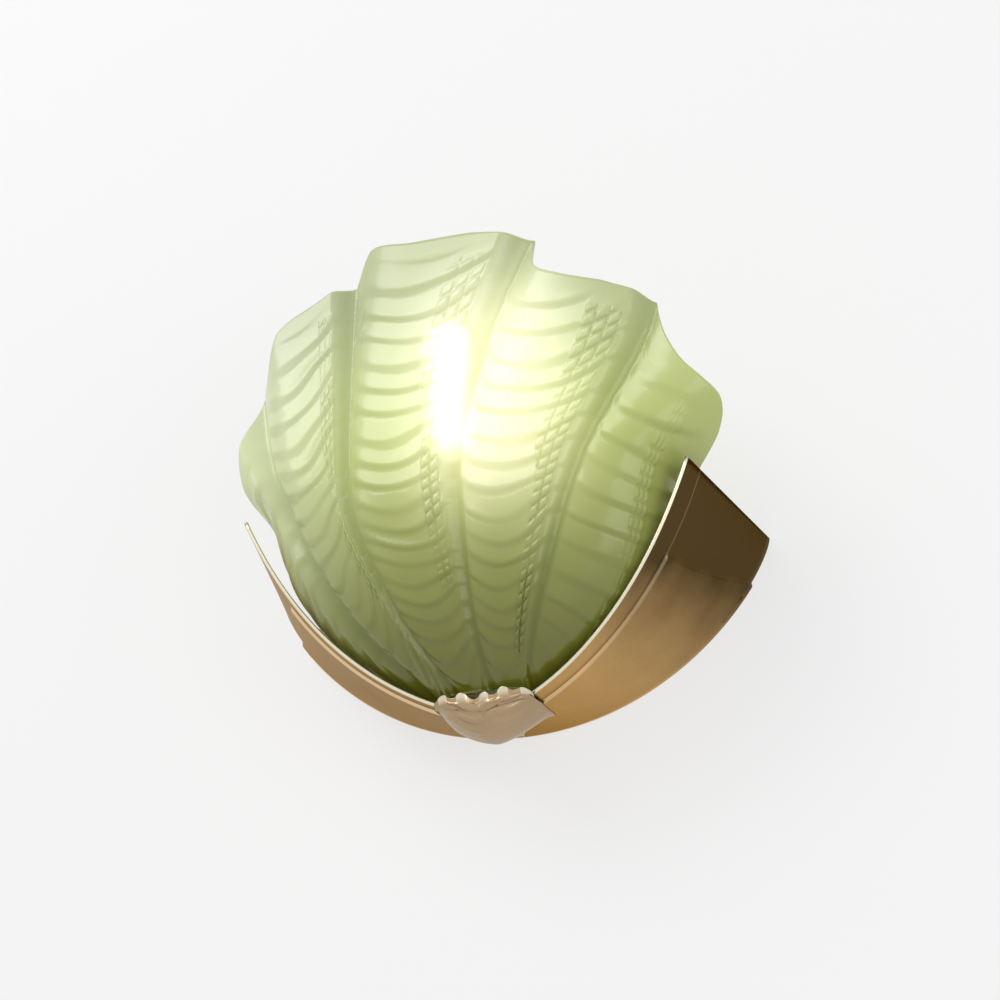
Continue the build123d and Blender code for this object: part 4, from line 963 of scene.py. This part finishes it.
class SCONCE_OT_clasp(bpy.types.Operator):
    """The cast clasp under the front of the shade"""

    bl_idname = "sconce.clasp"
    bl_label = "Clasp"

    def execute(self, context):
        gilt = material("cast gilt clasp", bpy.data.node_groups["worn brass with painted light"],
                        {"Light tone": (0.52, 0.36, 0.20), "Dark tone": (0.30, 0.235, 0.16),
                         "Tarnish": 0.45, "Roughness": 0.34},
                        metallic=1.0, bump=0.2, bump_mm=0.04)
        points, faces, bump_highlight = motif_mesh(context.scene.sconce_clasp)
        clasp = piece("clasp", points, faces, gilt, "fixture", ["motif"])
        paint(clasp, "painted_highlight", bump_highlight)
        return {"FINISHED"}


# slot: light tone, dark tone, tarnish, roughness
METALS = (
    ("cast_brass", (0.62, 0.45, 0.26), (0.28, 0.19, 0.10), 0.3, 0.3),
    ("brass_turned", (0.65, 0.47, 0.22), (0.30, 0.20, 0.09), 0.25, 0.25),
    ("plated_steel", (0.60, 0.60, 0.58), (0.34, 0.34, 0.33), 0.4, 0.35),
    ("nickel", (0.72, 0.70, 0.66), (0.45, 0.43, 0.40), 0.3, 0.2),
)
# slot: tone, roughness, other inputs of the group, the shader's own sockets
SURFACES = (
    ("black_rubber", (0.03, 0.03, 0.03), 0.7, {}, {}),
    ("white_plastic", (0.78, 0.76, 0.70), 0.35, {}, {}),
    ("white_ceramic", (0.82, 0.81, 0.78), 0.2, {}, {"Coat Weight": 0.4}),
    ("brown_sleeve", (0.12, 0.05, 0.02), 0.5, {}, {}),
    ("blue_sleeve", (0.02, 0.08, 0.35), 0.5, {}, {}),
    ("green_sleeve", (0.05, 0.25, 0.03), 0.5, {}, {}),
    ("felt", (0.08, 0.07, 0.05), 0.95, {"Grain size": 2500.0}, {}),
    ("lamp_glass", (0.86, 0.82, 0.72), 0.1, {},
     {"Transmission Weight": 0.8, "Emission Color": (1, 0.93, 0.75, 1), "Emission Strength": 0.22}),
    ("filament", (0.9, 0.6, 0.3), 0.5, {},
     {"Emission Color": (1, 0.85, 0.6, 1), "Emission Strength": 6.0}),
)


class SCONCE_OT_fittings(bpy.types.Operator):
    """Finishes of the wall plate, lampholder, lamp, wiring, felt and screws"""

    bl_idname = "sconce.fittings"
    bl_label = "Fittings"

    def execute(self, context):
        brass, plain = bpy.data.node_groups["worn brass with painted light"], surface_group()
        finishes = {}
        for name, light, dark, tarnish, roughness in METALS:
            finishes[name] = (brass, {
                "Light tone": light, "Dark tone": dark, "Tarnish": tarnish, "Roughness": roughness,
            }, 1.0, {})
        for name, colour, roughness, more, own in SURFACES:
            finishes[name] = (plain, {"Tone": colour, "Roughness": roughness, **more}, 0.0, own)
        made = {
            name: material(name.replace("_", " "), group, values, metallic, 0.12, 0.03, own)
            for name, (group, values, metallic, own) in finishes.items()
        }
        slots = {part["node"]: part["material_slot"] for part in frame["record"]["subparts"]}
        for name, node in frame["nodes"].items():
            if slots[name] in made:
                node.data.materials.clear()
                node.data.materials.append(made[slots[name]])
        return {"FINISHED"}


class SCONCE_PT_panel(bpy.types.Panel):
    """Lists the steps that build the wall light"""

    bl_idname = "SCONCE_PT_panel"
    bl_label = "Shell wall sconce"
    bl_space_type = "VIEW_3D"
    bl_region_type = "UI"
    bl_category = "Sconce"

    def draw(self, context):
        for step in STEPS:
            self.layout.operator(step.bl_idname)
        scene = context.scene
        for group in (scene.sconce_shade, scene.sconce_gallery, scene.sconce_clasp, scene.sconce_stage):
            box = self.layout.box()
            for key in group.__annotations__:
                box.prop(group, key)


STEPS = (SCONCE_OT_stage, SCONCE_OT_shade, SCONCE_OT_gallery, SCONCE_OT_clasp, SCONCE_OT_fittings)
CLASSES = (SconceShade, SconceGallery, SconceClasp, SconceStage) + STEPS + (SCONCE_PT_panel,)


def register():
    for cls in CLASSES:
        bpy.utils.register_class(cls)
    bpy.types.Scene.sconce_shade = PointerProperty(type=SconceShade)
    bpy.types.Scene.sconce_gallery = PointerProperty(type=SconceGallery)
    bpy.types.Scene.sconce_clasp = PointerProperty(type=SconceClasp)
    bpy.types.Scene.sconce_stage = PointerProperty(type=SconceStage)


def unregister():
    del bpy.types.Scene.sconce_shade, bpy.types.Scene.sconce_gallery
    del bpy.types.Scene.sconce_clasp, bpy.types.Scene.sconce_stage
    for cls in reversed(CLASSES):
        bpy.utils.unregister_class(cls)


def main():
    register()
    bpy.ops.sconce.stage()
    bpy.ops.sconce.shade()
    bpy.ops.sconce.gallery()
    bpy.ops.sconce.clasp()
    bpy.ops.sconce.fittings()


if __name__ == "__main__":
    main()
